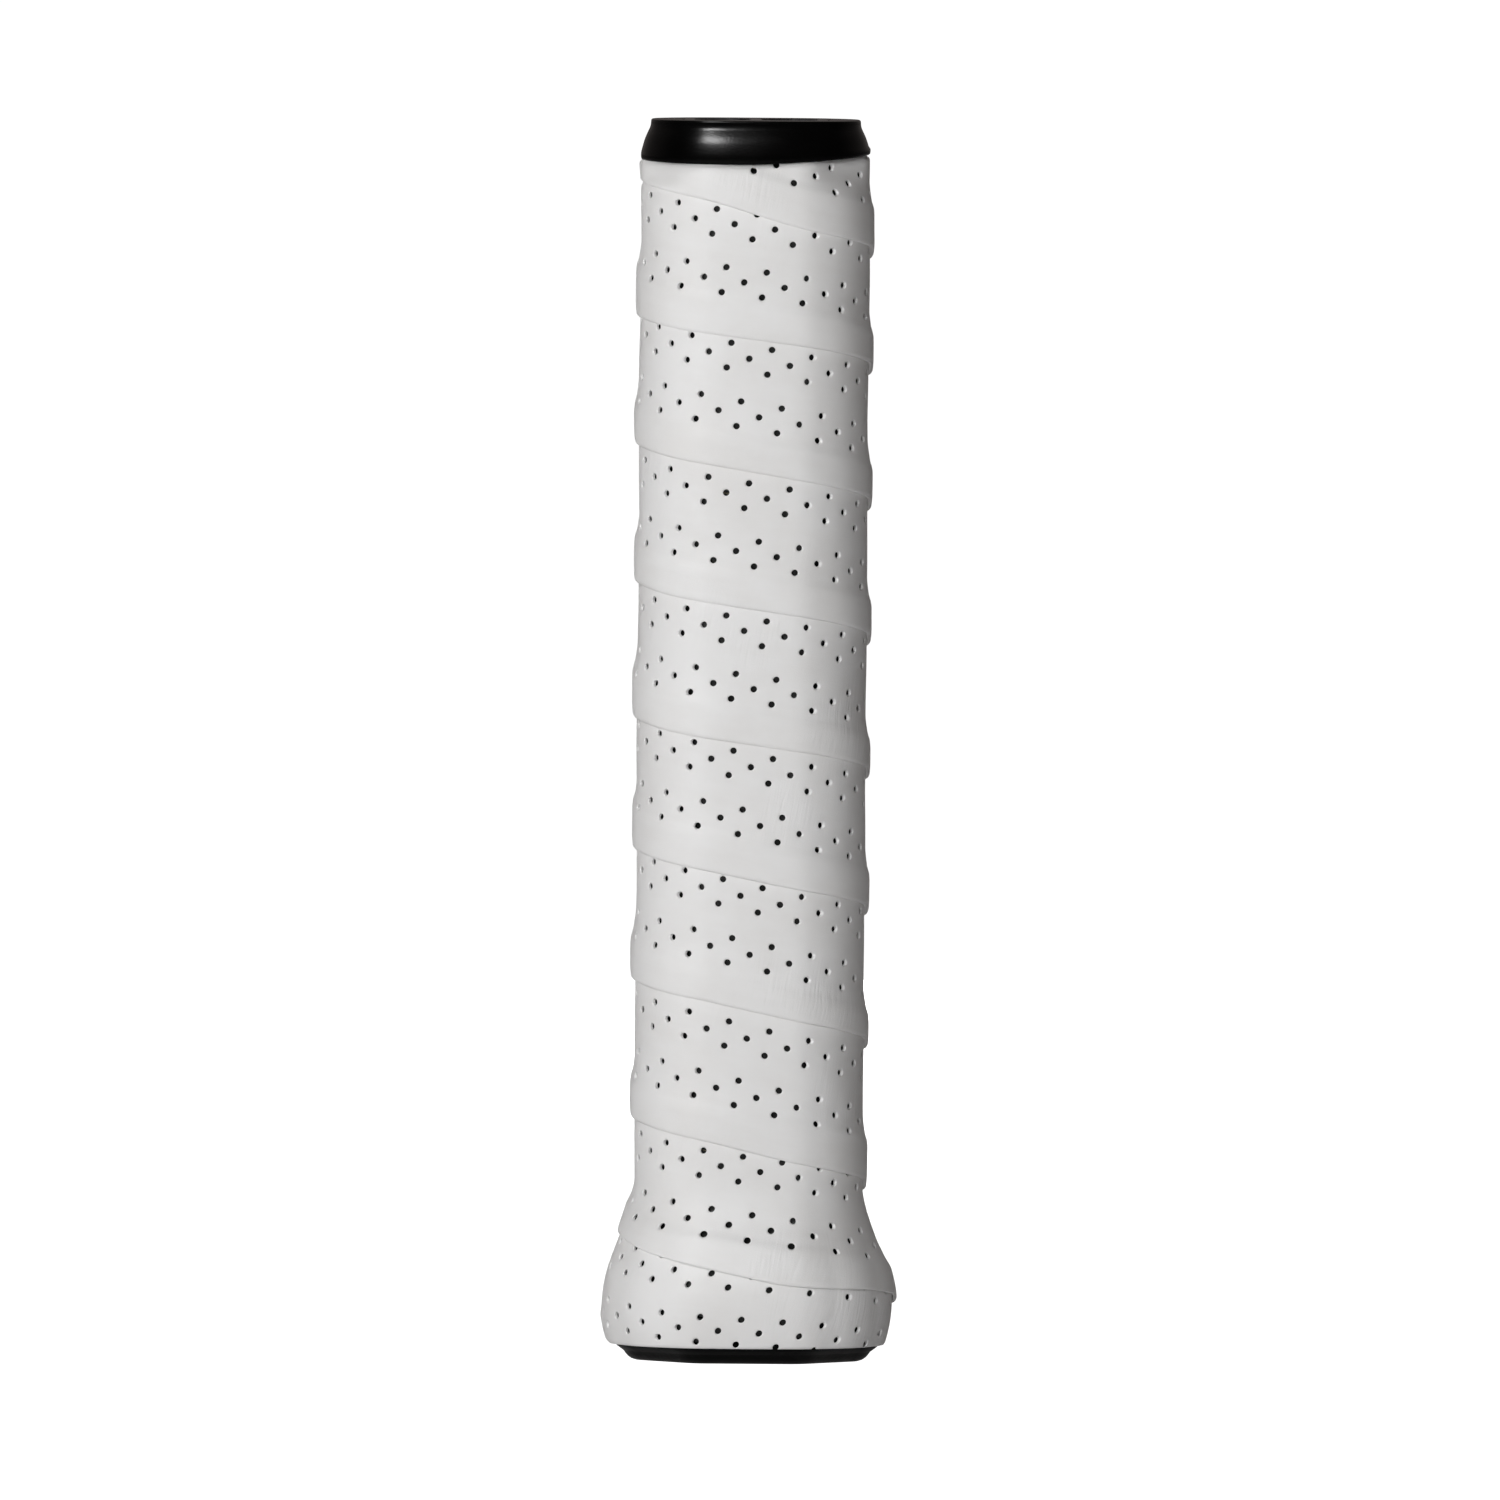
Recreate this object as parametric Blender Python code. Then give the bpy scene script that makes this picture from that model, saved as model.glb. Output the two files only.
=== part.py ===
"""A wrapped racket handle: shaft, foam pallets, flared butt cap with a trap door, base grip,
spiral overgrip, finishing tape and a rubber collar.

World frame: metres, +Z up the handle. The origin is the centre of the butt's flat bottom.
X runs across the wide faces, and the front face looks along -Y.

Every layer follows one rounded octagon. An outline at offset d is the skeleton octagon with
each side moved out by d and each corner turned on an arc of radius d, so outlines of
different offset stay parallel. The wrapped tapes are cut out flat, in (s, z), where s is the
distance round the octagon, and are then wrapped onto that outline.
"""

import math

import bmesh
import bpy
from mathutils import Vector

MM = 0.001

# Skeleton octagon (mm).
HALF_WIDTH = 12.5
HALF_DEPTH = 10.7
BEVEL_LEG = 6.35
ARC_STEPS = 3

# Heights along the handle (mm).
HANDLE_TOP = 187.0
PALLET_FOOT = 6.5
PALLET_TOP = 184.2
SHAFT_FOOT = 6.2
CAP_FLOOR = 3.2
CAP_TOP = 27.0

# Radial stack, as offsets from the skeleton (mm).
PALLET_OFFSET = 2.6
SOCKET_OFFSET = 1.0
FIT_GAP = 0.15
BASE_GRIP_INNER = PALLET_OFFSET + FIT_GAP
BASE_GRIP_THICK = 1.2
OVERGRIP_INNER = BASE_GRIP_INNER + BASE_GRIP_THICK + FIT_GAP
OVERGRIP_THICK = 0.6
LAP_STEP = OVERGRIP_THICK + FIT_GAP
FINISH_INNER = OVERGRIP_INNER + OVERGRIP_THICK + FIT_GAP
FINISH_THICK = 0.15

# Flare of the butt.
FLARE = 4.6
FLARE_TOP = 27.0
FLARE_FULL = 9.0
FOOT_TUCK = 0.75
TAPE_FOOT = 3.5
OVERGRIP_FOOT = 2.5

# How the layers are drawn in under the collar. Above SQUEEZE_TO they taper on, by TOP_TAPER per mm.
SQUEEZE = 1.8
SQUEEZE_FROM = 178.9
SQUEEZE_TO = 181.0
TOP_TAPER = 0.2

# Overgrip strip. Each turn laps over the one below. EDGE_AT_LEFT is a height at which the
# strip's lower edge crosses the middle of the -X side.
OVERGRIP_PITCH = 19.9
OVERGRIP_WIDTH = 24.2
OVERGRIP_EDGE_AT_LEFT = 157.9
LAP_BLEND = 1.8

# Base grip strip, laid edge to edge.
BASE_GRIP_PITCH = 24.9
BASE_GRIP_SEAM = 0.3
BASE_GRIP_EDGE_AT_LEFT = 12.0

# Every wrapped strip is trimmed level at the top. Its two pointed ends are cut to TIP_WIDTH.
TAPE_TOP = 184.0
TIP_WIDTH = 1.4

# Finishing tape: a narrow band that starts at distance FINISH_START and laps its own start.
FINISH_FOOT = 181.3
FINISH_TOP = 183.9
FINISH_START = 40.0
FINISH_LAP = 16.0

# Shaft: two tubes side by side, sharing one rounded outline.
SHAFT_HALF_X = 10.8
SHAFT_HALF_Y = 7.8
SHAFT_CORNER = 4.5
SHAFT_WALL = 1.5
SHAFT_WEB = 1.6
SHAFT_GAP = 0.2
PALLET_SPLIT = 0.3

# Butt cap and trap door.
CAP_WALL = 1.8
RIB_THICK = 1.6
RIB_TOP = 22.0
DOOR_HALF_X = 9.3
DOOR_HALF_Y = 5.8
DOOR_CORNER = 3.6
DOOR_RECESS = 0.6
DOOR_THICK = 1.45
LEDGE_Z = 2.2
LEDGE = 1.5
DOOR_GAP = 0.2
LEG_THICK = 1.1
LEG_TOP = 5.6
LEG_HALF_WIDTH = 2.6
NOTCH_HALF_WIDTH = 2.4
NOTCH_REACH = 1.3
NOTCH_DEPTH = 0.8

# Staples.
WIRE = 0.45
WIRE_CLEARANCE = 0.15
STAPLE_Z = 24.5
STAPLE_HALF = 4.4
STAPLE_LEG = 3.6
STAPLE_BEND = 0.7

# Cap profile, as (offset, height), from the flat bottom out to the rim. The base grip stops
# above the rim, and the overgrip reaches down past it.
CAP_RIM = (
    (3.7, 0.0),
    (4.5, 0.1),
    (5.2, 0.4),
    (5.8, 0.95),
    (6.15, 1.45),
    (6.7, 1.85),
    (7.15, 2.2),
    (7.3, 2.5),
    (7.3, 3.25),
)

# Collar profiles, as (offset, height), from the lip up.
COLLAR_OUTER = (
    (4.7, 180.3),
    (4.85, 180.42),
    (4.87, 181.0),
    (4.7, 182.0),
    (4.45, 183.0),
    (4.2, 184.0),
    (3.95, 185.0),
    (3.6, 186.3),
    (3.35, 186.85),
    (3.1, 187.0),
)
COLLAR_INNER = (
    (4.5, 179.8),
    (4.35, 180.5),
    (4.15, 181.2),
    (3.95, 182.0),
    (3.75, 183.0),
    (3.55, 184.0),
    (3.45, 184.8),
)

# Heights at which the layers' curved stretches are divided, the same for all of them.
FLARE_LEVELS = (5.2, 7.1, 9.0, 11.2, 13.5, 15.8, 18.0, 20.3, 22.5, 25.0, 27.0)
TOP_LEVELS = (178.9, 179.5, 180.0, 180.5, 181.0, 182.5)

# Well outside the handle, for cutters that must run past it.
FAR = 60.0


# ---------------------------------------------------------------- profiles


def smooth(t):
    """Smoothstep, clamped at both ends."""
    t = min(max(t, 0.0), 1.0)
    return t * t * (3.0 - 2.0 * t)


def flare_at(z):
    """How far the butt's flare pushes every layer out at this height."""
    rise = FLARE * smooth((FLARE_TOP - z) / (FLARE_TOP - FLARE_FULL))
    if z < FLARE_FULL:
        rise -= FOOT_TUCK * ((FLARE_FULL - z) / (FLARE_FULL - TAPE_FOOT)) ** 2
    return rise


def squeeze_at(z):
    """How far every layer is drawn in under the collar at this height."""
    pull = SQUEEZE * smooth((z - SQUEEZE_FROM) / (SQUEEZE_TO - SQUEEZE_FROM))
    return pull + TOP_TAPER * max(z - SQUEEZE_TO, 0.0)


def shift_at(z):
    return flare_at(z) - squeeze_at(z)


def skeleton():
    """The octagon's corners, anticlockwise from above, each with the angle its arc starts at."""
    x = HALF_WIDTH
    y = HALF_DEPTH
    leg = BEVEL_LEG
    return (
        ((-x, leg - y), 180.0),
        ((leg - x, -y), 225.0),
        ((x - leg, -y), 270.0),
        ((x, leg - y), 315.0),
        ((x, y - leg), 0.0),
        ((x - leg, y), 45.0),
        ((leg - x, y), 90.0),
        ((-x, y - leg), 135.0),
    )


def outline(offset):
    """The points of the outline at this offset. The first is on the -X side, at its -Y end."""
    points = []
    for (x, y), start in skeleton():
        for step in range(ARC_STEPS + 1):
            angle = math.radians(start + 45.0 * step / ARC_STEPS)
            points.append((x + offset * math.cos(angle), y + offset * math.sin(angle)))
    return points


def stations():
    """The distance s of each outline point round the overgrip's face, from the middle of -X."""
    points = outline(OVERGRIP_INNER + OVERGRIP_THICK)
    distances = [-points[0][1]]
    for before, after in zip(points, points[1:]):
        distances.append(distances[-1] + math.dist(before, after))
    return distances


STATIONS = stations()
PERIMETER = STATIONS[-1] + STATIONS[0]


def on_outline(s, offset):
    """The point at distance s, on the straight run between two outline points."""
    points = outline(offset)
    s %= PERIMETER
    for index in range(len(STATIONS)):
        start = STATIONS[index - 1] if index else STATIONS[-1] - PERIMETER
        if s <= STATIONS[index] + 1e-9:
            break
    else:
        index = 0
        start = STATIONS[-1]
    end = STATIONS[index] if start < STATIONS[index] else STATIONS[index] + PERIMETER
    share = (s - start) / (end - start)
    before = points[index - 1]
    after = points[index]
    x = before[0] + share * (after[0] - before[0])
    y = before[1] + share * (after[1] - before[1])
    return x, y


# ---------------------------------------------------------------- scene helpers


def clear_scene():
    for item in list(bpy.data.objects):
        bpy.data.objects.remove(item)


def new_collection(name):
    made = bpy.data.collections.new(name)
    bpy.context.scene.collection.children.link(made)
    return made


def material(name, colour, roughness, metallic=0.0):
    made = bpy.data.materials.new(name)
    made.use_nodes = True
    shader = made.node_tree.nodes["Principled BSDF"]
    shader.inputs["Base Color"].default_value = (*colour, 1.0)
    shader.inputs["Roughness"].default_value = roughness
    shader.inputs["Metallic"].default_value = metallic
    made.diffuse_color = (*colour, 1.0)
    return made


def add_mesh(name, form, paint=None):
    """An object from a bmesh. With a material it is a piece, and without one a cutter."""
    bmesh.ops.recalc_face_normals(form, faces=form.faces)
    data = bpy.data.meshes.new(name)
    form.to_mesh(data)
    form.free()
    made = bpy.data.objects.new(name, data)
    if paint is None:
        CUTTERS.objects.link(made)
        made.hide_render = True
        made.display_type = "WIRE"
    else:
        PIECES.objects.link(made)
        data.materials.append(paint)
    return made


def smooth_sides(made, degrees=35.0):
    """Smooth shading on curved runs, with every corner over this angle left sharp."""
    data = made.data
    for face in data.polygons:
        face.use_smooth = True
    form = bmesh.new()
    form.from_mesh(data)
    for edge in form.edges:
        edge.smooth = edge.calc_face_angle(0.0) < math.radians(degrees)
    form.to_mesh(data)
    form.free()


def boolean(made, tool, operation="DIFFERENCE"):
    step = made.modifiers.new(f"{operation.lower()}_{tool.name}", "BOOLEAN")
    step.solver = "EXACT"
    step.operation = operation
    step.object = tool


def loft(name, rings, paint=None):
    """A closed solid through octagon outlines, from (offset, height) pairs, bottom first."""
    form = bmesh.new()
    rows = []
    for offset, z in rings:
        points = outline(offset)
        rows.append([form.verts.new((x * MM, y * MM, z * MM)) for x, y in points])
    count = len(rows[0])
    for lower, upper in zip(rows, rows[1:]):
        for i in range(count):
            j = (i + 1) % count
            form.faces.new((lower[i], lower[j], upper[j], upper[i]))
    form.faces.new(list(reversed(rows[0])))
    form.faces.new(rows[-1])
    return add_mesh(name, form, paint)


def block(name, low, high, corner=0.0, steps=5, paint=None):
    """An upright box between two points, with its four upright edges rounded."""
    form = bmesh.new()
    bmesh.ops.create_cube(form, size=1.0)
    size = [(b - a) * MM for a, b in zip(low, high)]
    middle = [(a + b) * 0.5 * MM for a, b in zip(low, high)]
    bmesh.ops.scale(form, vec=size, verts=form.verts)
    bmesh.ops.translate(form, vec=middle, verts=form.verts)
    if corner:
        upright = [e for e in form.edges if abs(e.verts[0].co.z - e.verts[1].co.z) > 1e-7]
        bmesh.ops.bevel(
            form,
            geom=upright,
            offset=corner * MM,
            segments=steps,
            profile=0.5,
            affect="EDGES",
        )
    return add_mesh(name, form, paint)


# ---------------------------------------------------------------- wrapped strips


def lap_height(v):
    """Height of the overgrip over its bed: raised where it laps the turn below."""
    return LAP_STEP * (1.0 - smooth((v - OVERGRIP_LAP) / LAP_BLEND))


def lead_angle(pitch):
    return math.atan(pitch / PERIMETER)


OVERGRIP_ADVANCE = OVERGRIP_PITCH * math.cos(lead_angle(OVERGRIP_PITCH))
OVERGRIP_LAP = OVERGRIP_WIDTH - OVERGRIP_ADVANCE + 0.1
LAP_LINES = (OVERGRIP_LAP, OVERGRIP_LAP + 0.5 * LAP_BLEND, OVERGRIP_LAP + LAP_BLEND)


def across(s, z, pitch, edge_at_left):
    """Distance up from a strip's lower edge, square to that edge. s = 0 lies on -X."""
    angle = lead_angle(pitch)
    return (z - edge_at_left + pitch * s / PERIMETER) * math.cos(angle)


def flat_sheet(s_low, s_high, z_low, z_high):
    form = bmesh.new()
    corners = ((s_low, z_low), (s_high, z_low), (s_high, z_high), (s_low, z_high))
    form.faces.new([form.verts.new((s, z, 0.0)) for s, z in corners])
    return form


def split(form, point, normal, drop_outer=False, drop_inner=False):
    bmesh.ops.bisect_plane(
        form,
        geom=form.verts[:] + form.edges[:] + form.faces[:],
        dist=0.004,
        plane_co=Vector((*point, 0.0)),
        plane_no=Vector((*normal, 0.0)),
        clear_outer=drop_outer,
        clear_inner=drop_inner,
    )


def helix_sheet(pitch, edge_at_left, width, z_low, z_high):
    """A flat strip between two heights, with the points of its two slanting ends cut off."""
    angle = lead_angle(pitch)
    normal = (math.sin(angle), math.cos(angle))
    foot = (edge_at_left - z_low) * PERIMETER / pitch
    head = (edge_at_left - z_high) * PERIMETER / pitch
    s_high = foot + (width - TIP_WIDTH) / math.sin(angle)
    s_low = head + TIP_WIDTH / math.sin(angle)
    form = flat_sheet(s_low, s_high, z_low, z_high)
    split(form, (0.0, edge_at_left), normal, drop_inner=True)
    upper = edge_at_left + width / math.cos(angle)
    split(form, (0.0, upper), normal, drop_outer=True)
    return form


def score_columns(form):
    """Edges at every outline point, so each piece of the sheet stays on one flat of the outline."""
    low = min(v.co.x for v in form.verts)
    high = max(v.co.x for v in form.verts)
    for turn in range(math.floor(low / PERIMETER), math.ceil(high / PERIMETER) + 1):
        for station in STATIONS:
            s = station + turn * PERIMETER
            if low < s < high:
                split(form, (s, 0.0), (1.0, 0.0))


def score_levels(form, levels):
    for z in levels:
        split(form, (0.0, z), (0.0, 1.0))


def score_across(form, pitch, edge_at_left, distances):
    """Edges along the strip, at these distances up from its lower edge."""
    angle = lead_angle(pitch)
    normal = (math.sin(angle), math.cos(angle))
    for distance in distances:
        split(form, (0.0, edge_at_left + distance / math.cos(angle)), normal)


def wrap_strip(name, form, thickness, bed, paint):
    """Thickens the flat sheet, then wraps it. bed(s, z) is the offset of its inner face."""
    bmesh.ops.remove_doubles(form, verts=form.verts, dist=0.02)
    bmesh.ops.triangulate(form, faces=form.faces[:], quad_method="BEAUTY")
    made = bmesh.ops.extrude_face_region(form, geom=form.faces[:])
    raised = [item for item in made["geom"] if isinstance(item, bmesh.types.BMVert)]
    bmesh.ops.translate(form, vec=(0.0, 0.0, thickness), verts=raised)
    for vert in form.verts:
        s, z, lift = vert.co
        x, y = on_outline(s, bed(s, z) + lift)
        vert.co = Vector((x, y, z)) * MM
    made = add_mesh(name, form, paint)
    smooth_sides(made)
    return made


def make_overgrip(paint):
    form = helix_sheet(
        OVERGRIP_PITCH,
        OVERGRIP_EDGE_AT_LEFT,
        OVERGRIP_WIDTH,
        OVERGRIP_FOOT,
        TAPE_TOP,
    )
    score_across(
        form,
        OVERGRIP_PITCH,
        OVERGRIP_EDGE_AT_LEFT,
        LAP_LINES,
    )
    score_levels(form, FLARE_LEVELS + TOP_LEVELS)
    score_columns(form)

    def bed(s, z):
        v = across(s, z, OVERGRIP_PITCH, OVERGRIP_EDGE_AT_LEFT)
        return OVERGRIP_INNER + shift_at(z) + lap_height(v)

    return wrap_strip("overgrip", form, OVERGRIP_THICK, bed, paint)


def make_base_grip(paint):
    angle = lead_angle(BASE_GRIP_PITCH)
    width = BASE_GRIP_PITCH * math.cos(angle) - BASE_GRIP_SEAM
    form = helix_sheet(
        BASE_GRIP_PITCH, BASE_GRIP_EDGE_AT_LEFT, width, TAPE_FOOT, TAPE_TOP
    )
    score_levels(form, FLARE_LEVELS + TOP_LEVELS)
    score_columns(form)

    def bed(s, z):
        return BASE_GRIP_INNER + shift_at(z)

    return wrap_strip("base_grip", form, BASE_GRIP_THICK, bed, paint)


def finish_bed(s, z):
    """Over the overgrip's lap, with a ramp down each side of it, and over its own start."""
    v = across(s, z, OVERGRIP_PITCH, OVERGRIP_EDGE_AT_LEFT) % OVERGRIP_ADVANCE
    ramp = smooth((v - OVERGRIP_ADVANCE + 3.0) / 2.8)
    lap = max(lap_height(v), LAP_STEP * ramp)
    own = smooth((s - FINISH_START - PERIMETER + 3.6) / 3.0)
    return FINISH_INNER + shift_at(z) + lap + own * (FINISH_THICK + FIT_GAP)


def make_finishing_tape(paint):
    s_high = FINISH_START + PERIMETER + FINISH_LAP
    form = flat_sheet(FINISH_START, s_high, FINISH_FOOT, FINISH_TOP)
    lines = (-3.0, -1.6, -0.2) + LAP_LINES
    for turn in range(-3, 5):
        score_across(
            form,
            OVERGRIP_PITCH,
            OVERGRIP_EDGE_AT_LEFT,
            [line + turn * OVERGRIP_ADVANCE for line in lines],
        )
    for back in (3.6, 2.1, 0.6):
        split(form, (FINISH_START + PERIMETER - back, 0.0), (1.0, 0.0))
    score_levels(form, (182.5,))
    score_columns(form)
    return wrap_strip("finishing_tape", form, FINISH_THICK, finish_bed, paint)


# ---------------------------------------------------------------- solid pieces


def make_shaft(paint):
    """Two tubes side by side with a web between them."""
    shaft = block(
        "shaft",
        (-SHAFT_HALF_X, -SHAFT_HALF_Y, SHAFT_FOOT),
        (SHAFT_HALF_X, SHAFT_HALF_Y, HANDLE_TOP),
        SHAFT_CORNER,
        steps=6,
        paint=paint,
    )
    inner_x = SHAFT_HALF_X - SHAFT_WALL
    inner_y = SHAFT_HALF_Y - SHAFT_WALL
    for side, low, high in (
        ("left", -inner_x, -0.5 * SHAFT_WEB),
        ("right", 0.5 * SHAFT_WEB, inner_x),
    ):
        channel = block(
            f"cut_shaft_{side}",
            (low, -inner_y, SHAFT_FOOT - 1.0),
            (high, inner_y, HANDLE_TOP + 1.0),
            SHAFT_CORNER - 0.8,
            steps=5,
        )
        boolean(shaft, channel)
    smooth_sides(shaft)
    return shaft


def make_shaft_cutter():
    half_x = SHAFT_HALF_X + SHAFT_GAP
    half_y = SHAFT_HALF_Y + SHAFT_GAP
    return block(
        "cut_for_shaft",
        (-half_x, -half_y, SHAFT_FOOT - 4.0),
        (half_x, half_y, HANDLE_TOP + 4.0),
        SHAFT_CORNER + SHAFT_GAP,
        steps=6,
    )


def pallet_rings():
    """Slim foot for the cap's socket, straight body, and the drawn-in top."""
    foot = SOCKET_OFFSET - FIT_GAP
    rings = [(foot, PALLET_FOOT), (foot, CAP_TOP + 0.2)]
    rings.append((PALLET_OFFSET, CAP_TOP + 0.22))
    for z in TOP_LEVELS + (PALLET_TOP,):
        rings.append((PALLET_OFFSET + shift_at(z), z))
    return rings


def make_pallet(name, side, shaft_cutter, staple_cutter, paint):
    """One moulded half. side is -1 for the front half and 1 for the back half."""
    pallet = loft(name, pallet_rings(), paint)
    boolean(pallet, shaft_cutter)
    near = 0.5 * PALLET_SPLIT * side
    far = -FAR * side
    other_half = block(
        f"cut_{name}_half",
        (-FAR, min(near, far), -FAR),
        (FAR, max(near, far), HANDLE_TOP + FAR),
    )
    boolean(pallet, other_half)
    boolean(pallet, staple_cutter)
    smooth_sides(pallet)
    return pallet


def cap_skirt(z):
    return PALLET_OFFSET + flare_at(z)


SKIRT_LEVELS = (TAPE_FOOT,) + FLARE_LEVELS


def cap_rings():
    rings = list(CAP_RIM)
    rings.append((cap_skirt(TAPE_FOOT), rings[-1][1] + 0.02))
    for z in SKIRT_LEVELS:
        rings.append((cap_skirt(z), z))
    return rings


def cap_hollow():
    """The space inside the skirt, from the floor up through the top."""
    rings = [(cap_skirt(TAPE_FOOT) - CAP_WALL - 0.6, CAP_FLOOR)]
    for z in SKIRT_LEVELS:
        rings.append((max(SOCKET_OFFSET, cap_skirt(z) - CAP_WALL), z))
    rings.append((SOCKET_OFFSET, CAP_TOP + 5.0))
    return loft("cut_cap_hollow", rings)


def make_ribs():
    """Eight ribs from the socket out into the skirt, as four long bars crossing the axis."""
    into_wall = 0.5 * CAP_WALL
    rings = [(cap_skirt(TAPE_FOOT) - into_wall, CAP_FLOOR - 0.8)]
    for z in SKIRT_LEVELS:
        if z < RIB_TOP:
            rings.append((cap_skirt(z) - into_wall, z))
    rings.append((cap_skirt(RIB_TOP) - into_wall, RIB_TOP))
    ribs = loft("cap_ribs", rings)
    boolean(ribs, make_bars(), "INTERSECT")
    socket = loft(
        "cut_socket",
        [(SOCKET_OFFSET, 1.0), (SOCKET_OFFSET, CAP_TOP + 3.0)],
    )
    boolean(ribs, socket)
    return ribs


def make_bars():
    """Four bars crossed on the axis, as one solid with a star's outline."""
    form = bmesh.new()
    outer = []
    reach = 0.5 * FAR
    half = 0.5 * RIB_THICK
    inner = half / math.sin(math.radians(22.5))
    for arm in range(8):
        angle = math.radians(45.0 * arm)
        along = (math.cos(angle), math.sin(angle))
        side = (-math.sin(angle), math.cos(angle))
        middle = math.radians(45.0 * arm + 22.5)
        outer.append((reach * along[0] - half * side[0], reach * along[1] - half * side[1]))
        outer.append((reach * along[0] + half * side[0], reach * along[1] + half * side[1]))
        outer.append((inner * math.cos(middle), inner * math.sin(middle)))
    rows = []
    for z in (2.0, RIB_TOP + 2.0):
        rows.append([form.verts.new((x * MM, y * MM, z * MM)) for x, y in outer])
    count = len(outer)
    for i in range(count):
        j = (i + 1) % count
        form.faces.new((rows[0][i], rows[0][j], rows[1][j], rows[1][i]))
    form.faces.new(list(reversed(rows[0])))
    form.faces.new(rows[1])
    return add_mesh("cap_bars", form)


def make_butt_cap(staple_cutters, paint):
    cap = loft("butt_cap", cap_rings(), paint)
    boolean(cap, cap_hollow())
    boolean(cap, make_ribs(), "UNION")
    recess_x = DOOR_HALF_X + DOOR_GAP
    recess_y = DOOR_HALF_Y + DOOR_GAP
    recess = block(
        "cut_door_recess",
        (-recess_x, -recess_y, -1.0),
        (recess_x, recess_y, LEDGE_Z),
        DOOR_CORNER + DOOR_GAP,
        steps=7,
    )
    boolean(cap, recess)
    hole = block(
        "cut_door_hole",
        (-DOOR_HALF_X + LEDGE, -DOOR_HALF_Y + LEDGE, 1.0),
        (DOOR_HALF_X - LEDGE, DOOR_HALF_Y - LEDGE, CAP_FLOOR + 1.0),
        DOOR_CORNER - 0.9,
        steps=6,
    )
    boolean(cap, hole)
    for cutter in staple_cutters:
        boolean(cap, cutter)
    smooth_sides(cap)
    return cap


def make_trap_door(paint):
    """A plate with a pry notch, held by two legs that press on the sides of the hole."""
    door = block(
        "trap_door",
        (-DOOR_HALF_X, -DOOR_HALF_Y, DOOR_RECESS),
        (DOOR_HALF_X, DOOR_HALF_Y, DOOR_RECESS + DOOR_THICK),
        DOOR_CORNER,
        steps=7,
        paint=paint,
    )
    reach = DOOR_HALF_X - LEDGE - 0.25
    for side in (-1, 1):
        near = side * (reach - LEG_THICK)
        far = side * reach
        leg = block(
            f"add_leg_{'left' if side < 0 else 'right'}",
            (min(near, far), -LEG_HALF_WIDTH, DOOR_RECESS + 0.5),
            (max(near, far), LEG_HALF_WIDTH, LEG_TOP),
        )
        boolean(door, leg, "UNION")
    notch = block(
        "cut_pry_notch",
        (-NOTCH_HALF_WIDTH, DOOR_HALF_Y - NOTCH_REACH, DOOR_RECESS - 1.0),
        (NOTCH_HALF_WIDTH, DOOR_HALF_Y + 1.0, DOOR_RECESS + NOTCH_DEPTH),
    )
    boolean(door, notch)
    smooth_sides(door)
    return door


def staple_path(side):
    """The wire's corner points, for the front (-1) or the back (1) face."""
    surface = HALF_DEPTH + cap_skirt(STAPLE_Z)
    crown = surface - WIRE
    path = [(-STAPLE_HALF, crown - STAPLE_LEG)]
    for degrees in (0.0, 30.0, 60.0, 90.0):
        angle = math.radians(degrees)
        x = -STAPLE_HALF + STAPLE_BEND * (1.0 - math.cos(angle))
        path.append((x, crown - STAPLE_BEND * (1.0 - math.sin(angle))))
    path += [(-x, y) for x, y in reversed(path)]
    return [(x, side * y, STAPLE_Z) for x, y in path]


def wire(name, path, radius, paint=None):
    """A round wire along straight runs, with closed ends."""
    curve = bpy.data.curves.new(name, "CURVE")
    curve.dimensions = "3D"
    curve.bevel_depth = radius * MM
    curve.bevel_resolution = 2
    curve.use_fill_caps = True
    spline = curve.splines.new("POLY")
    spline.points.add(len(path) - 1)
    for point, (x, y, z) in zip(spline.points, path):
        point.co = (x * MM, y * MM, z * MM, 1.0)
    guide = bpy.data.objects.new(f"{name}_guide", curve)
    CUTTERS.objects.link(guide)
    guide.hide_render = True
    bpy.context.view_layer.update()
    graph = bpy.context.evaluated_depsgraph_get()
    data = bpy.data.meshes.new_from_object(guide.evaluated_get(graph))
    form = bmesh.new()
    form.from_mesh(data)
    bmesh.ops.remove_doubles(form, verts=form.verts, dist=1e-6)
    bpy.data.objects.remove(guide)
    made = add_mesh(name, form, paint)
    smooth_sides(made)
    return made


def staple_cutter(name, side):
    """A groove for the wire, with a little more room at the leg tips."""
    path = staple_path(side)
    for end in (0, -1):
        x, y, z = path[end]
        path[end] = (x, y - side * WIRE_CLEARANCE, z)
    return wire(name, path, WIRE + WIRE_CLEARANCE)


def make_collar(shaft_cutter, paint):
    collar = loft("collar", COLLAR_OUTER, paint)
    boolean(collar, loft("cut_collar_inside", COLLAR_INNER))
    boolean(collar, shaft_cutter)
    smooth_sides(collar)
    return collar


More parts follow.
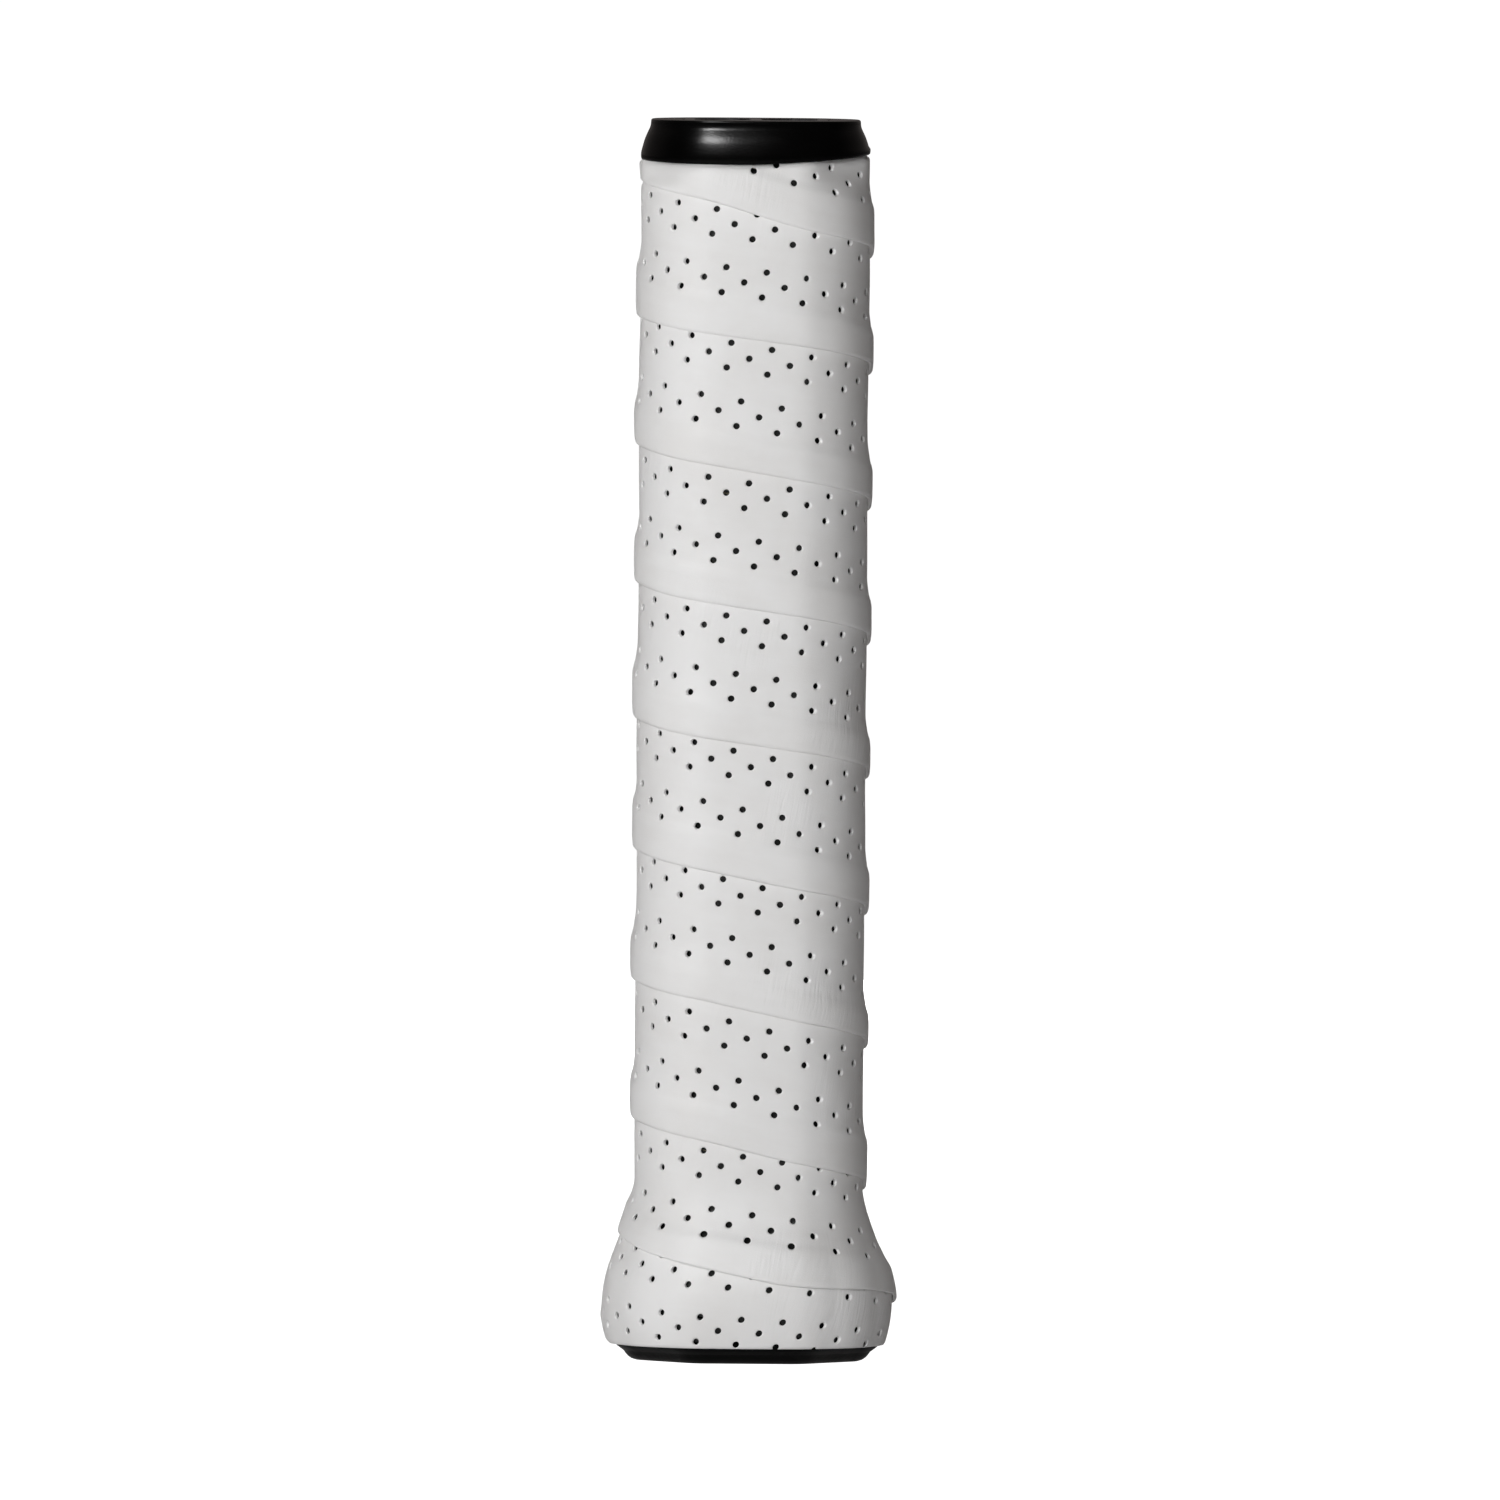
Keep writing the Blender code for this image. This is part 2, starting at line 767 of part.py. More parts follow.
def build():
    carbon = material("carbon", (0.03, 0.03, 0.035), 0.35)
    foam = material("pallet_foam", (0.62, 0.53, 0.36), 0.8)
    nylon = material("cap_nylon", (0.02, 0.02, 0.022), 0.4)
    door_nylon = material("door_nylon", (0.022, 0.022, 0.024), 0.45)
    steel = material("staple_steel", (0.6, 0.6, 0.62), 0.3, metallic=1.0)
    cushion = material("base_grip_cushion", (0.03, 0.03, 0.03), 0.7)
    white = material("overgrip_felt", (0.8, 0.8, 0.79), 0.6)
    vinyl = material("finishing_vinyl", (0.04, 0.04, 0.04), 0.45)
    rubber = material("collar_rubber", (0.02, 0.019, 0.018), 0.3)

    shaft_cutter = make_shaft_cutter()
    front_groove = staple_cutter("cut_staple_front", -1)
    back_groove = staple_cutter("cut_staple_back", 1)
    make_shaft(carbon)
    make_pallet("pallet_front", -1, shaft_cutter, front_groove, foam)
    make_pallet("pallet_back", 1, shaft_cutter, back_groove, foam)
    make_butt_cap((front_groove, back_groove), nylon)
    make_trap_door(door_nylon)
    wire("butt_staple_front", staple_path(-1), WIRE, steel)
    wire("butt_staple_back", staple_path(1), WIRE, steel)
    make_base_grip(cushion)
    make_overgrip(white)
    make_finishing_tape(vinyl)
    make_collar(shaft_cutter, rubber)


clear_scene()
PIECES = new_collection("wrapped_racket_handle")
CUTTERS = new_collection("cutters")
CUTTERS.hide_render = True
build()
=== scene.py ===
"""Looks for the wrapped racket handle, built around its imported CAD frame.

Lengths are in millimetres until a mesh is written out, in metres. Every wrapped layer follows
the same rounded octagon as the CAD model. A point on it is given by s, the distance round the
handle anticlockwise from the middle of the -X side, by its height z, and by its offset from
the skeleton octagon.
"""

import math

import bmesh
import bpy
import numpy as np
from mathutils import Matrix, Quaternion, Vector


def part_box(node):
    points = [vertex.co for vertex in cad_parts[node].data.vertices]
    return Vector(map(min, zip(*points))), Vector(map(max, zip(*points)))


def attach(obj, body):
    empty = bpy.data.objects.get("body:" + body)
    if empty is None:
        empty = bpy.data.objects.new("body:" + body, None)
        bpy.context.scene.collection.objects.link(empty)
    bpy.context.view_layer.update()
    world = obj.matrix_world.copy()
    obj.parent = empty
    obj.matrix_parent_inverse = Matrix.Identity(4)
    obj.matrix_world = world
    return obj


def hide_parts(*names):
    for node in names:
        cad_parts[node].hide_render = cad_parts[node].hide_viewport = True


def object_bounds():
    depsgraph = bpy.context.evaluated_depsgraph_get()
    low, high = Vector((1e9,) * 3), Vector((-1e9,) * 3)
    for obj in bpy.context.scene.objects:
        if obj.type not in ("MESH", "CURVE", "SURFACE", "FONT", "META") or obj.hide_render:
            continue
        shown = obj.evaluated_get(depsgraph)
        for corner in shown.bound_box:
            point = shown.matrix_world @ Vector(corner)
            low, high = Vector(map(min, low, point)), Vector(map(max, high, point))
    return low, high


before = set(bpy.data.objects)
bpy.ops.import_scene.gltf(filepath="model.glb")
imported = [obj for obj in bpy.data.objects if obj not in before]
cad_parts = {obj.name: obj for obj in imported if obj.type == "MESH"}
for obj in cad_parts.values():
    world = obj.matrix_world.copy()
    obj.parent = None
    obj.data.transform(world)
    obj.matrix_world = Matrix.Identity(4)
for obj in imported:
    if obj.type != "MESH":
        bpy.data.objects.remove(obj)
cad_low, cad_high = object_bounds()

MM = 0.001
TAU = 2.0 * math.pi


def node_box(node):
    """The node's lowest and highest corner, in millimetres."""
    low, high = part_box(node)
    return [c / MM for c in low], [c / MM for c in high]


def node_heights(node):
    low, high = node_box(node)
    return low[2], high[2]


WRAP_FOOT, WRAP_TOP = node_heights("overgrip")
FINISH_FOOT, FINISH_TOP = node_heights("finishing_tape")
COLLAR_TOP = node_heights("collar")[1]
CAP_TOP = node_heights("butt_cap")[1]
SHAFT_HIGH = node_box("shaft")[1]
PALLET_HIGH = node_box("pallet_back")[1]
DOOR_LOW, DOOR_HIGH = node_box("trap_door")

# Skeleton octagon. Its size follows from the pallets, which stand PALLET_OFFSET out from it.
PALLET_OFFSET = 2.6
HALF_WIDTH = PALLET_HIGH[0] - PALLET_OFFSET
HALF_DEPTH = PALLET_HIGH[1] - PALLET_OFFSET
BEVEL_LEG = 6.35

# Radial stack.
FIT_GAP = 0.15
BASE_GRIP_OUTER = 3.95
WRAP_INNER = BASE_GRIP_OUTER + FIT_GAP
WRAP_THICK = 0.6
LAP_STEP = WRAP_THICK + FIT_GAP
REFERENCE_OFFSET = WRAP_INNER + WRAP_THICK
FINISH_THICK = 0.15
FINISH_INNER = REFERENCE_OFFSET + FIT_GAP
SHAFT_CORNER = 4.5

# Flare of the butt. Below FLARE_FULL it tucks in again, by FOOT_TUCK at TUCK_FOOT. How it
# stretches the corners is worked out at STRETCH_LEVELS sizes.
FLARE = 4.6
FLARE_TOP = 27.0
FLARE_FULL = 9.0
FOOT_TUCK = 0.75
TUCK_FOOT = 3.5
STRETCH_LEVELS = 12

# How the wrap is drawn in under the collar.
SQUEEZE = 1.8
SQUEEZE_FROM = 179.9
SQUEEZE_TO = 181.5
TOP_TAPER = 0.2

# The collar's lip is higher on the +X side and sags at the front and back. Where it rises by
# EVEN_LIP, SQUEEZE_FROM and the finishing tape's foot are right as they stand.
LIP_RISE = 1.16
LIP_TILT = 0.5
LIP_DIP = 0.9
EVEN_LIP = 0.45

# Just under the collar the wrap's end is pinched in round the -X side.
PINCH = 0.62
PINCH_REACH = 16.0
PINCH_FROM = 176.5
PINCH_GROWTH = 2.0
PINCH_TO = 179.8
PINCH_FADE = 1.2

# The cushioned sides bulge. These are the bulges' slopes where a side meets a corner: for the
# front and back, for the bevels and for the two narrow sides. SOFT_LIFT raises all of it, and it
# keeps LEAST_GAP from the base grip. It fades out at SOFT_TOP.
FLAT_BULGE = 0.1
BEVEL_BULGE = 0.36
SIDE_BULGE = 0.03
SIDE_BULGES = (SIDE_BULGE, BEVEL_BULGE, FLAT_BULGE, BEVEL_BULGE) * 2
SOFT_LIFT = 0.1
SOFT_TOP = 180.0
SOFT_FADE = 4.0
LEAST_GAP = 0.05

# Slow waves all over the wrap, that grow from nothing at the foot.
RIPPLE = 0.05
RIPPLE_SEED = 7
RIPPLE_WAVES = (1, 2, 3, 4, 5, 7)
RIPPLE_LENGTHS = (14.0, 60.0)
RIPPLE_FOOT = 6.0
RIPPLE_GROWTH = 8.0

# Overgrip strip. EDGE_AT_LEFT is where its lower edge first crosses the middle of the -X side.
# That edge is rounded by EDGE_DIP, and pressed into the turn below by EDGE_SEAT.
PITCH = 19.9
STRIP_WIDTH = 24.2
EDGE_AT_LEFT = 177.9
TIP_WIDTH = 1.2
EDGE_DIP = 0.16
EDGE_REACH = 0.4
EDGE_SEAT = 0.12
SEAT_REACH = 1.5

# A turn climbs over the one below in a short ridge and a long slope. FIRST_LAP and STRIP_END are
# counted in turns from the top: from FIRST_LAP on, there is no turn below.
LAP_RIDGE = 1.7
LAP_SLOPE = 4.8
RIDGE_SHARE = 0.38
MAX_LAP = 5.5
FIRST_LAP = 9.0
FIRST_LAP_EASE = 0.1
STRIP_END = 9.95

# Over the butt the last full turn's lower edge is drawn up. Each pair is a distance from the start
# of that turn and the rise there.
DRAWN_TURN = 8
DRAWN_UP = (
    (-25.0, 0.0), (0.0, 3.4), (13.0, 2.4),
    (25.6, 1.1), (31.0, 0.6), (36.0, 0.75),
    (43.0, 1.35), (53.0, 1.1), (80.0, 0.0),
)

# The wrap was wound by hand. For each turn from the top: how far its lower edge sits above an
# even spiral on the left front bevel, and on the right one.
TURN_SHIFTS = (
    (1.0, -0.9), (0.6, 1.6), (1.0, 1.2), (0.1, 0.7),
    (-0.4, 0.3), (-0.3, -0.6), (0.0, -0.6), (-1.1, -2.1),
    (-1.8, -1.0), (1.7, 3.7), (4.8, 4.8),
)
LEFT_BEVEL = 15.5
RIGHT_BEVEL = 38.2

# How far each turn's holes have crept along the strip, as it was stretched unevenly. CREEP_PLACE
# is where in the turn that is so, as a share of it.
TURN_CREEP = (0.0, 0.0, -1.0, -2.4, -3.8, -3.5, -0.6, -0.4, -1.4, -0.9)
CREEP_PLACE = 0.25

# Punched holes: two bands of three staggered rows. Each hole has a cell of the sheet to itself,
# with CELL_STEPS quads along each side. HOLE_RINGS are the rings round it, as shares of its radius
# and of HOLE_DIP.
HOLE_SPACING = 6.15
HOLE_RADIUS = 0.48
CELL_STEPS = 4
HOLE_SIDES = 4 * CELL_STEPS
HOLE_DIP = 0.12
HOLE_UNDERCUT = 0.05
HOLE_RINGS = ((1.6, 0.0), (1.3, 0.08), (1.1, 0.4), (1.0, 1.0))
BAND_ROWS = 3
ROW_SPACING = 1.88
FIRST_ROW = 6.4
SECOND_BAND = 14.8
FIRST_ROW_FOOT = FIRST_ROW - 0.5 * ROW_SPACING
LAST_ROW_TOP = SECOND_BAND + 2.5 * ROW_SPACING

# Where else the sheet is divided: up from its lower edge, and up from its last row of holes.
EDGE_LINES = (0.0, 0.12, 0.3, 0.6, 1.2, 2.0, 2.8, 3.6, 4.3, 4.9)
MARGIN_LINES = (0.7, 1.6, 2.6, 3.6)

# The sheet is laid out to beyond the wrap's ends by SHEET_MARGIN, then cut back to TRIM_MARGIN
# beyond them, and last to the ends. LENGTH_SAMPLES is how finely its own length is measured.
SHEET_MARGIN = 4.0
TRIM_MARGIN = 3.0
LENGTH_SAMPLES = 4000

# Edges sharper than these stay crisp, on the tapes and the collar, and on the nylon mouldings.
SOFT_CREASE = math.radians(50.0)
HARD_CREASE = math.radians(35.0)


# -------- shape of the handle


def smooth(t):
    t = np.clip(t, 0.0, 1.0)
    return t * t * (3.0 - 2.0 * t)


def spline(knots, values, x):
    """A smooth curve through the values at the knots, level beyond them."""
    knots = np.asarray(knots)
    values = np.asarray(values)
    x = np.clip(x, knots[0], knots[-1])
    slopes = np.zeros(len(knots))
    slopes[1:-1] = (values[2:] - values[:-2]) / (knots[2:] - knots[:-2])
    i = np.clip(np.searchsorted(knots, x, side="right") - 1, 0, len(knots) - 2)
    gap = knots[i + 1] - knots[i]
    t = (x - knots[i]) / gap
    leaving = gap * slopes[i] * t * (1.0 - t) ** 2
    arriving = gap * slopes[i + 1] * t * t * (1.0 - t)
    return values[i] + leaving - arriving + (values[i + 1] - values[i]) * smooth(t)


def flare_at(z):
    """How far the handle swells at the butt."""
    rise = FLARE * smooth((FLARE_TOP - z) / (FLARE_TOP - FLARE_FULL))
    below = np.maximum(FLARE_FULL - z, 0.0) / (FLARE_FULL - TUCK_FOOT)
    return rise - FOOT_TUCK * below**2


def lip_rise(s):
    """How far the collar's lip stands above its moulded level."""
    sag = 0.5 - 0.5 * np.cos(2.0 * TAU * s / PERIMETER)
    return LIP_RISE - LIP_TILT * np.cos(TAU * s / PERIMETER) - LIP_DIP * sag


def squeeze_at(s, z):
    """How far the wrap's top end is drawn in. It starts where the collar's lip covers it."""
    z = z - (lip_rise(s) - EVEN_LIP)
    pull = SQUEEZE * smooth((z - SQUEEZE_FROM) / (SQUEEZE_TO - SQUEEZE_FROM))
    return pull + TOP_TAPER * np.maximum(z - SQUEEZE_TO, 0.0)


def outline_runs():
    """The outline's sides and corner arcs, anticlockwise from the middle of the -X side.

    Each is a row of its length, the skeleton's x and y at its start and end, the direction it
    faces and how far that turns, the length of the whole side or arc that it is part of, how far
    into that whole it starts, and the bulge's slope at the whole's start and end and its height
    at the start.
    """
    x = HALF_WIDTH
    y = HALF_DEPTH
    leg = BEVEL_LEG
    corners = (
        (-x, leg - y), (leg - x, -y), (x - leg, -y), (x, leg - y),
        (x, y - leg), (x - leg, y), (leg - x, y), (-x, y - leg),
    )
    arc = REFERENCE_OFFSET * TAU / 8.0
    lifts = [0.5 * arc * (bulge - FLAT_BULGE) for bulge in SIDE_BULGES]
    half = y - leg
    side = SIDE_BULGES[0]
    rows = [(half, -x, 0.0, *corners[0], 180.0, 0.0, 2.0 * half, half, side, -side, lifts[0])]
    for index, corner in enumerate(corners):
        start = 180.0 + 45.0 * index
        before = SIDE_BULGES[index]
        last = index + 1 == len(corners)
        after_index = 0 if last else index + 1
        ahead = SIDE_BULGES[after_index]
        rows.append((arc, *corner, *corner, start, 45.0, arc, 0.0, -before, ahead, lifts[index]))
        after = (-x, 0.0) if last else corners[index + 1]
        length = math.dist(corner, after)
        whole = 2.0 * length if last else length
        side = (length, *corner, *after, start + 45.0, 0.0, whole, 0.0)
        rows.append((*side, ahead, -ahead, lifts[after_index]))
    return np.array(rows)


LENGTH, FROM_X, FROM_Y, TO_X, TO_Y, FACING = range(6)
TURN, WHOLE, STARTED, SLOPE, END_SLOPE, LIFT = range(6, 12)
RUNS = outline_runs()
RUN_ENDS = np.cumsum(RUNS[:, LENGTH])
PERIMETER = float(RUN_ENDS[-1])
LEAD = math.atan(PITCH / PERIMETER)
ADVANCE = PITCH * math.cos(LEAD)


def run_at(s):
    """The row of RUNS that each distance falls in, and how far into it."""
    s = np.mod(s, PERIMETER)
    index = np.minimum(np.searchsorted(RUN_ENDS, s, side="right"), len(RUNS) - 1)
    rows = RUNS[index]
    return rows, s - (RUN_ENDS[index] - rows[:, LENGTH])


def wrap_points(s, z, offset):
    """Points in metres for arrays of distance, height and offset, all in millimetres."""
    rows, into = run_at(s)
    share = into / rows[:, LENGTH]
    angle = np.radians(rows[:, FACING] + share * rows[:, TURN])
    x = rows[:, FROM_X] + share * (rows[:, TO_X] - rows[:, FROM_X]) + offset * np.cos(angle)
    y = rows[:, FROM_Y] + share * (rows[:, TO_Y] - rows[:, FROM_Y]) + offset * np.sin(angle)
    return np.stack([x, y, z], axis=1) * MM


def fullness(s):
    """How far the soft sides and corners stand out, with even curvature along each of them."""
    rows, into = run_at(s)
    whole = rows[:, WHOLE]
    t = (into + rows[:, STARTED]) / whole
    slope = rows[:, SLOPE]
    return rows[:, LIFT] + whole * (slope * t + 0.5 * (rows[:, END_SLOPE] - slope) * t * t)


def even_out(s, z):
    """Slides points round the handle so that corners, wide at the flare, don't stretch them."""
    turns = np.floor(s / PERIMETER)
    into = s - turns * PERIMETER
    levels = np.linspace(-FOOT_TUCK, FLARE, STRETCH_LEVELS)
    corner = RUNS[:, TURN] > 0.0
    ends = np.concatenate([[0.0], RUN_ENDS])
    slid = []
    for level in levels:
        lengths = RUNS[:, LENGTH] * np.where(corner, 1.0 + level / REFERENCE_OFFSET, 1.0)
        reached = np.concatenate([[0.0], np.cumsum(lengths)])
        slid.append(np.interp(into, reached * PERIMETER / reached[-1], ends))
    slid = np.array(slid)
    place = (flare_at(z) - levels[0]) / (levels[1] - levels[0])
    below = np.clip(np.floor(place).astype(int), 0, len(levels) - 2)
    share = np.clip(place - below, 0.0, 1.0)
    each = np.arange(len(s))
    return turns * PERIMETER + slid[below, each] * (1.0 - share) + slid[below + 1, each] * share


def pinch(s, z):
    """How far the wrap's end is drawn in just under the collar, round the -X side."""
    into = np.mod(s, PERIMETER)
    near = smooth(1.0 - np.minimum(into, PERIMETER - into) / PINCH_REACH)
    grown = smooth((z - PINCH_FROM) / PINCH_GROWTH)
    return PINCH * near * grown * (1.0 - smooth((z - PINCH_TO) / PINCH_FADE))


def unevenness(s):
    """How far the turn at distance s sits above an even spiral."""
    knots = []
    values = []
    for turn, (left, right) in enumerate(TURN_SHIFTS):
        knots += [turn * PERIMETER + LEFT_BEVEL, turn * PERIMETER + RIGHT_BEVEL]
        values += [left, right]
    return spline(knots, values, s)


def across(s, z):
    """Distance up from the overgrip's lower edge, on the turn that distance s counts."""
    even = z - unevenness(s)
    return (even - EDGE_AT_LEFT + PITCH * s / PERIMETER) * math.cos(LEAD)


def lap_at(s):
    """How far up from this turn's lower edge the turn below ends."""
    below = unevenness(s + PERIMETER) - unevenness(s)
    return np.minimum(STRIP_WIDTH - ADVANCE + below * math.cos(LEAD), MAX_LAP)


def width_at(s):
    """The strip's width. It is narrower where an even strip would reach up past MAX_LAP."""
    above = unevenness(s - PERIMETER) - unevenness(s)
    return np.minimum(STRIP_WIDTH, MAX_LAP + ADVANCE + above * math.cos(LEAD))


def lap_height(s, z):
    """How far this layer is lifted by the turn below. The first turns at the butt have none."""
    past = across(s, z) - lap_at(s)
    laid = 1.0 - smooth((s / PERIMETER - FIRST_LAP + FIRST_LAP_EASE) / (2.0 * FIRST_LAP_EASE))
    ridge = RIDGE_SHARE * smooth(past / LAP_RIDGE)
    slope = (1.0 - RIDGE_SHARE) * smooth(past / LAP_SLOPE)
    return LAP_STEP * laid * (1.0 - ridge - slope)


def ripple(s, z):
    """Slow waves in the hand-wrapped surface. Each fits the perimeter a whole number of times."""
    random = np.random.default_rng(RIPPLE_SEED)
    total = np.zeros_like(s)
    for waves in RIPPLE_WAVES:
        length = random.uniform(*RIPPLE_LENGTHS)
        phase = random.uniform(0.0, TAU)
        size = RIPPLE / math.sqrt(waves)
        total += size * np.sin(TAU * (waves * s / PERIMETER + z / length) + phase)
    return total


# -------- mesh helpers


def add_object(name, data):
    made = bpy.data.objects.new(name, data)
    bpy.context.scene.collection.objects.link(made)
    return made


def object_from_arrays(name, points, faces):
    data = bpy.data.meshes.new(name)
    data.from_pydata(points.tolist(), [], faces)
    data.update()
    data.shade_smooth()
    return add_object(name, data)


def mesh_from_form(name, form):
    """A mesh with the bmesh's faces turned outwards. The bmesh is used up."""
    data = bpy.data.meshes.new(name)
    bmesh.ops.recalc_face_normals(form, faces=form.faces)
    form.to_mesh(data)
    form.free()
    return data


def stand_for(made, node, body):
    """Puts the piece on a body, in place of a CAD node, which it hides."""
    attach(made, body)
    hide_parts(node)
    return made


def set_plane_uv(data, flat):
    """A UV layer in millimetres from one (u, v) pair per vertex."""
    layer = data.uv_layers.new(name="tape")
    corners = np.empty(len(data.loops), dtype=np.int32)
    data.loops.foreach_get("vertex_index", corners)
    layer.uv.foreach_set("vector", flat[corners].astype(np.float32).ravel())


ROUND = Vector((1.0, 0.0, 0.0))
UP = Vector((0.0, 1.0, 0.0))


def split_sheet(form, way, at, **drop):
    """Divides the flat sheet across a way, ROUND or UP. drop: clear_outer or clear_inner."""
    parts = form.verts[:] + form.edges[:] + form.faces[:]
    place = way * at
    bmesh.ops.bisect_plane(form, geom=parts, dist=1e-4, plane_co=place, plane_no=way, **drop)


def close_slab(count, faces):
    """Faces of a closed slab: the sheet, its underside (indices + count) and the walls between."""
    directed = set()
    for face in faces:
        for start, end in zip(face, face[1:] + face[:1]):
            directed.add((start, end))
    slab = list(faces)
    slab += [[i + count for i in reversed(face)] for face in faces]
    for start, end in directed:
        if (end, start) not in directed:
            slab.append([end, start, start + count, end + count])
    return slab


def wrap_sheet(name, form, thickness, bed):
    """Closes a flat sheet, whose points are (s, z, dip), into a slab wrapped on the handle.

    bed(s, z) is the offset of the slab's inner face.
    """
    flat = np.array([v.co[:] for v in form.verts])
    form.verts.index_update()
    faces = [[v.index for v in face.verts] for face in form.faces]
    form.free()
    s, z, dip = flat[:, 0], flat[:, 1], flat[:, 2]
    up = across(s, z)
    inner = bed(s, z)
    in_hole = (up > EDGE_REACH) & (z > WRAP_FOOT + EDGE_REACH)
    undercut = HOLE_UNDERCUT * dip / HOLE_DIP * in_hole
    top = wrap_points(s, z, inner + thickness - dip)
    under = wrap_points(s, z, inner + undercut)
    points = np.concatenate([top, under])
    made = object_from_arrays(name, points, close_slab(len(flat), faces))
    even = z - unevenness(s)
    along = s * math.cos(LEAD) - (even - EDGE_AT_LEFT) * math.sin(LEAD)
    tape = np.stack([along, up], axis=1)
    set_plane_uv(made.data, np.concatenate([tape, tape]))
    made.data.set_sharp_from_angle(angle=SOFT_CREASE)
    return made


# -------- overgrip


def strip_lines():
    """The heights across the strip at which the sheet is divided, and which of them start a row."""
    half_row = 0.5 * ROW_SPACING
    steps = range(1, CELL_STEPS + 1)
    lines = [*EDGE_LINES, FIRST_ROW_FOOT]
    rows = {}
    for band, first in enumerate((FIRST_ROW, SECOND_BAND)):
        if band:
            step = (first - half_row - lines[-1]) / CELL_STEPS
            lines += [lines[-1] + step * k for k in steps]
        for row in range(BAND_ROWS):
            rows[len(lines) - 1] = BAND_ROWS * band + row
            lines += [lines[-1] + ROW_SPACING * k / CELL_STEPS for k in steps]
    top = lines[-1]
    lines += [top + more for more in MARGIN_LINES]
    return lines + [STRIP_WIDTH], rows


def stretch_at(s):
    """How much longer the way round is, at the middle of the strip, than on the plain handle."""
    middle = EDGE_AT_LEFT - PITCH * s / PERIMETER + 0.5 * STRIP_WIDTH
    return 1.0 + TAU * flare_at(np.maximum(middle, TUCK_FOOT)) / PERIMETER


def hole_columns():
    """Distances along the strip at which the hole pattern's cells start, half a spacing apart.

    The strip keeps its own length, so the cells crowd together where the handle is thicker.
    """
    start = (EDGE_AT_LEFT - WRAP_TOP - SHEET_MARGIN) / math.sin(LEAD)
    end = (EDGE_AT_LEFT - WRAP_FOOT + STRIP_WIDTH + SHEET_MARGIN) / math.sin(LEAD)
    along = np.linspace(start, end, LENGTH_SAMPLES)
    turns = (np.arange(len(TURN_CREEP)) + CREEP_PLACE) * PERIMETER / math.cos(LEAD)
    creep = spline(turns, TURN_CREEP, along)
    own = start + np.cumsum(stretch_at(along)) * (along[1] - along[0]) + creep
    half = 0.5 * HOLE_SPACING
    marks = np.arange(math.ceil(own[0] / half), math.floor(own[-1] / half))
    return marks, np.interp(marks * half, own, along)


def hole_cell(left, right, foot):
    """Points and quads of a cell with a round hole, whose rim is turned down a little.

    The cell's edge and the rings are matched from its lower left corner round. A cell that is
    crowded along the strip has a narrower hole.
    """
    half_x = 0.5 * (right - left)
    half_y = 0.5 * ROW_SPACING
    centre = np.array([left + half_x, foot + half_y, 0.0])
    steps = np.arange(CELL_STEPS) / (0.5 * CELL_STEPS) - 1.0
    ones = np.ones(CELL_STEPS)
    edge_x = np.concatenate([steps, ones, -steps, -ones]) * half_x
    edge_y = np.concatenate([-ones, steps, ones, -steps]) * half_y
    rings = [np.stack([edge_x, edge_y, 0.0 * edge_x], axis=1)]
    angle = math.radians(225.0) + TAU * np.arange(HOLE_SIDES) / HOLE_SIDES
    squash = half_x / (0.25 * HOLE_SPACING)
    for factor, dip in HOLE_RINGS:
        radius = HOLE_RADIUS * factor
        depth = HOLE_DIP * dip + 0.0 * angle
        ring = [radius * squash * np.cos(angle), radius * np.sin(angle), depth]
        rings.append(np.stack(ring, axis=1))
    return np.concatenate(rings) + centre, np.array(band_quads(len(rings), HOLE_SIDES))


def band_quads(rings, around, closed=False):
    """Quads that join each ring of points to the next, and if closed the last to the first."""
    quads = []
    for ring in range(rings if closed else rings - 1):
        here = ring * around
        there = (ring + 1) % rings * around
        for k in range(around):
            after = (k + 1) % around
            quads.append([here + k, here + after, there + after, there + k])
    return quads


def grid_quads(wide, high):
    """The quads of a grid whose points are listed row by row."""
    quads = []
    for row in range(high - 1):
        for column in range(wide - 1):
            corner = row * wide + column
            quads.append((corner, corner + 1, corner + wide + 1, corner + wide))
    return np.array(quads)


def plain_cell(left, right, lines):
    """A cell divided evenly along the strip, and at the given lines across it."""
    xs = np.linspace(left, right, CELL_STEPS + 1)
    grid = np.array([(x, y, 0.0) for y in lines for x in xs])
    return grid, grid_quads(len(xs), len(lines))


def strip_cells():
    """Every cell of the strip in turn, as points (along, across, dip) and quads."""
    lines, rows = strip_lines()
    marks, columns = hole_columns()
    for mark, left, right in zip(marks, columns, columns[1:]):
        index = 0
        while index < len(lines) - 1:
            row = rows.get(index)
            step = 1 if row is None else CELL_STEPS
            if row is not None and (mark + row) % 2 == 0:
                yield hole_cell(left, right, lines[index])
            else:
                yield plain_cell(left, right, lines[index : index + step + 1])
            index += step


def perforated_sheet():
    """The whole strip as welded points (along, across, dip) and quads."""
    points = []
    quads = []
    count = 0
    for cell_points, cell_quads in strip_cells():
        points.append(cell_points)
        quads.append(cell_quads + count)
        count += len(cell_points)
    points = np.concatenate(points)
    keys = np.round(points[:, :2], 4)
    _, first, inverse = np.unique(keys, axis=0, return_index=True, return_inverse=True)
    return points[first], inverse.reshape(-1)[np.concatenate(quads)]


def sheet_form(points, faces):
    data = bpy.data.meshes.new("sheet")
    data.from_pydata(points.tolist(), [], faces.tolist())
    form = bmesh.new()
    form.from_mesh(data)
    bpy.data.meshes.remove(data)
    return form


def edge_dip(inside):
    """How far the sheet is rounded off at this distance inside its edge."""
    return EDGE_DIP * np.maximum(1.0 - inside / EDGE_REACH, 0.0) ** 2


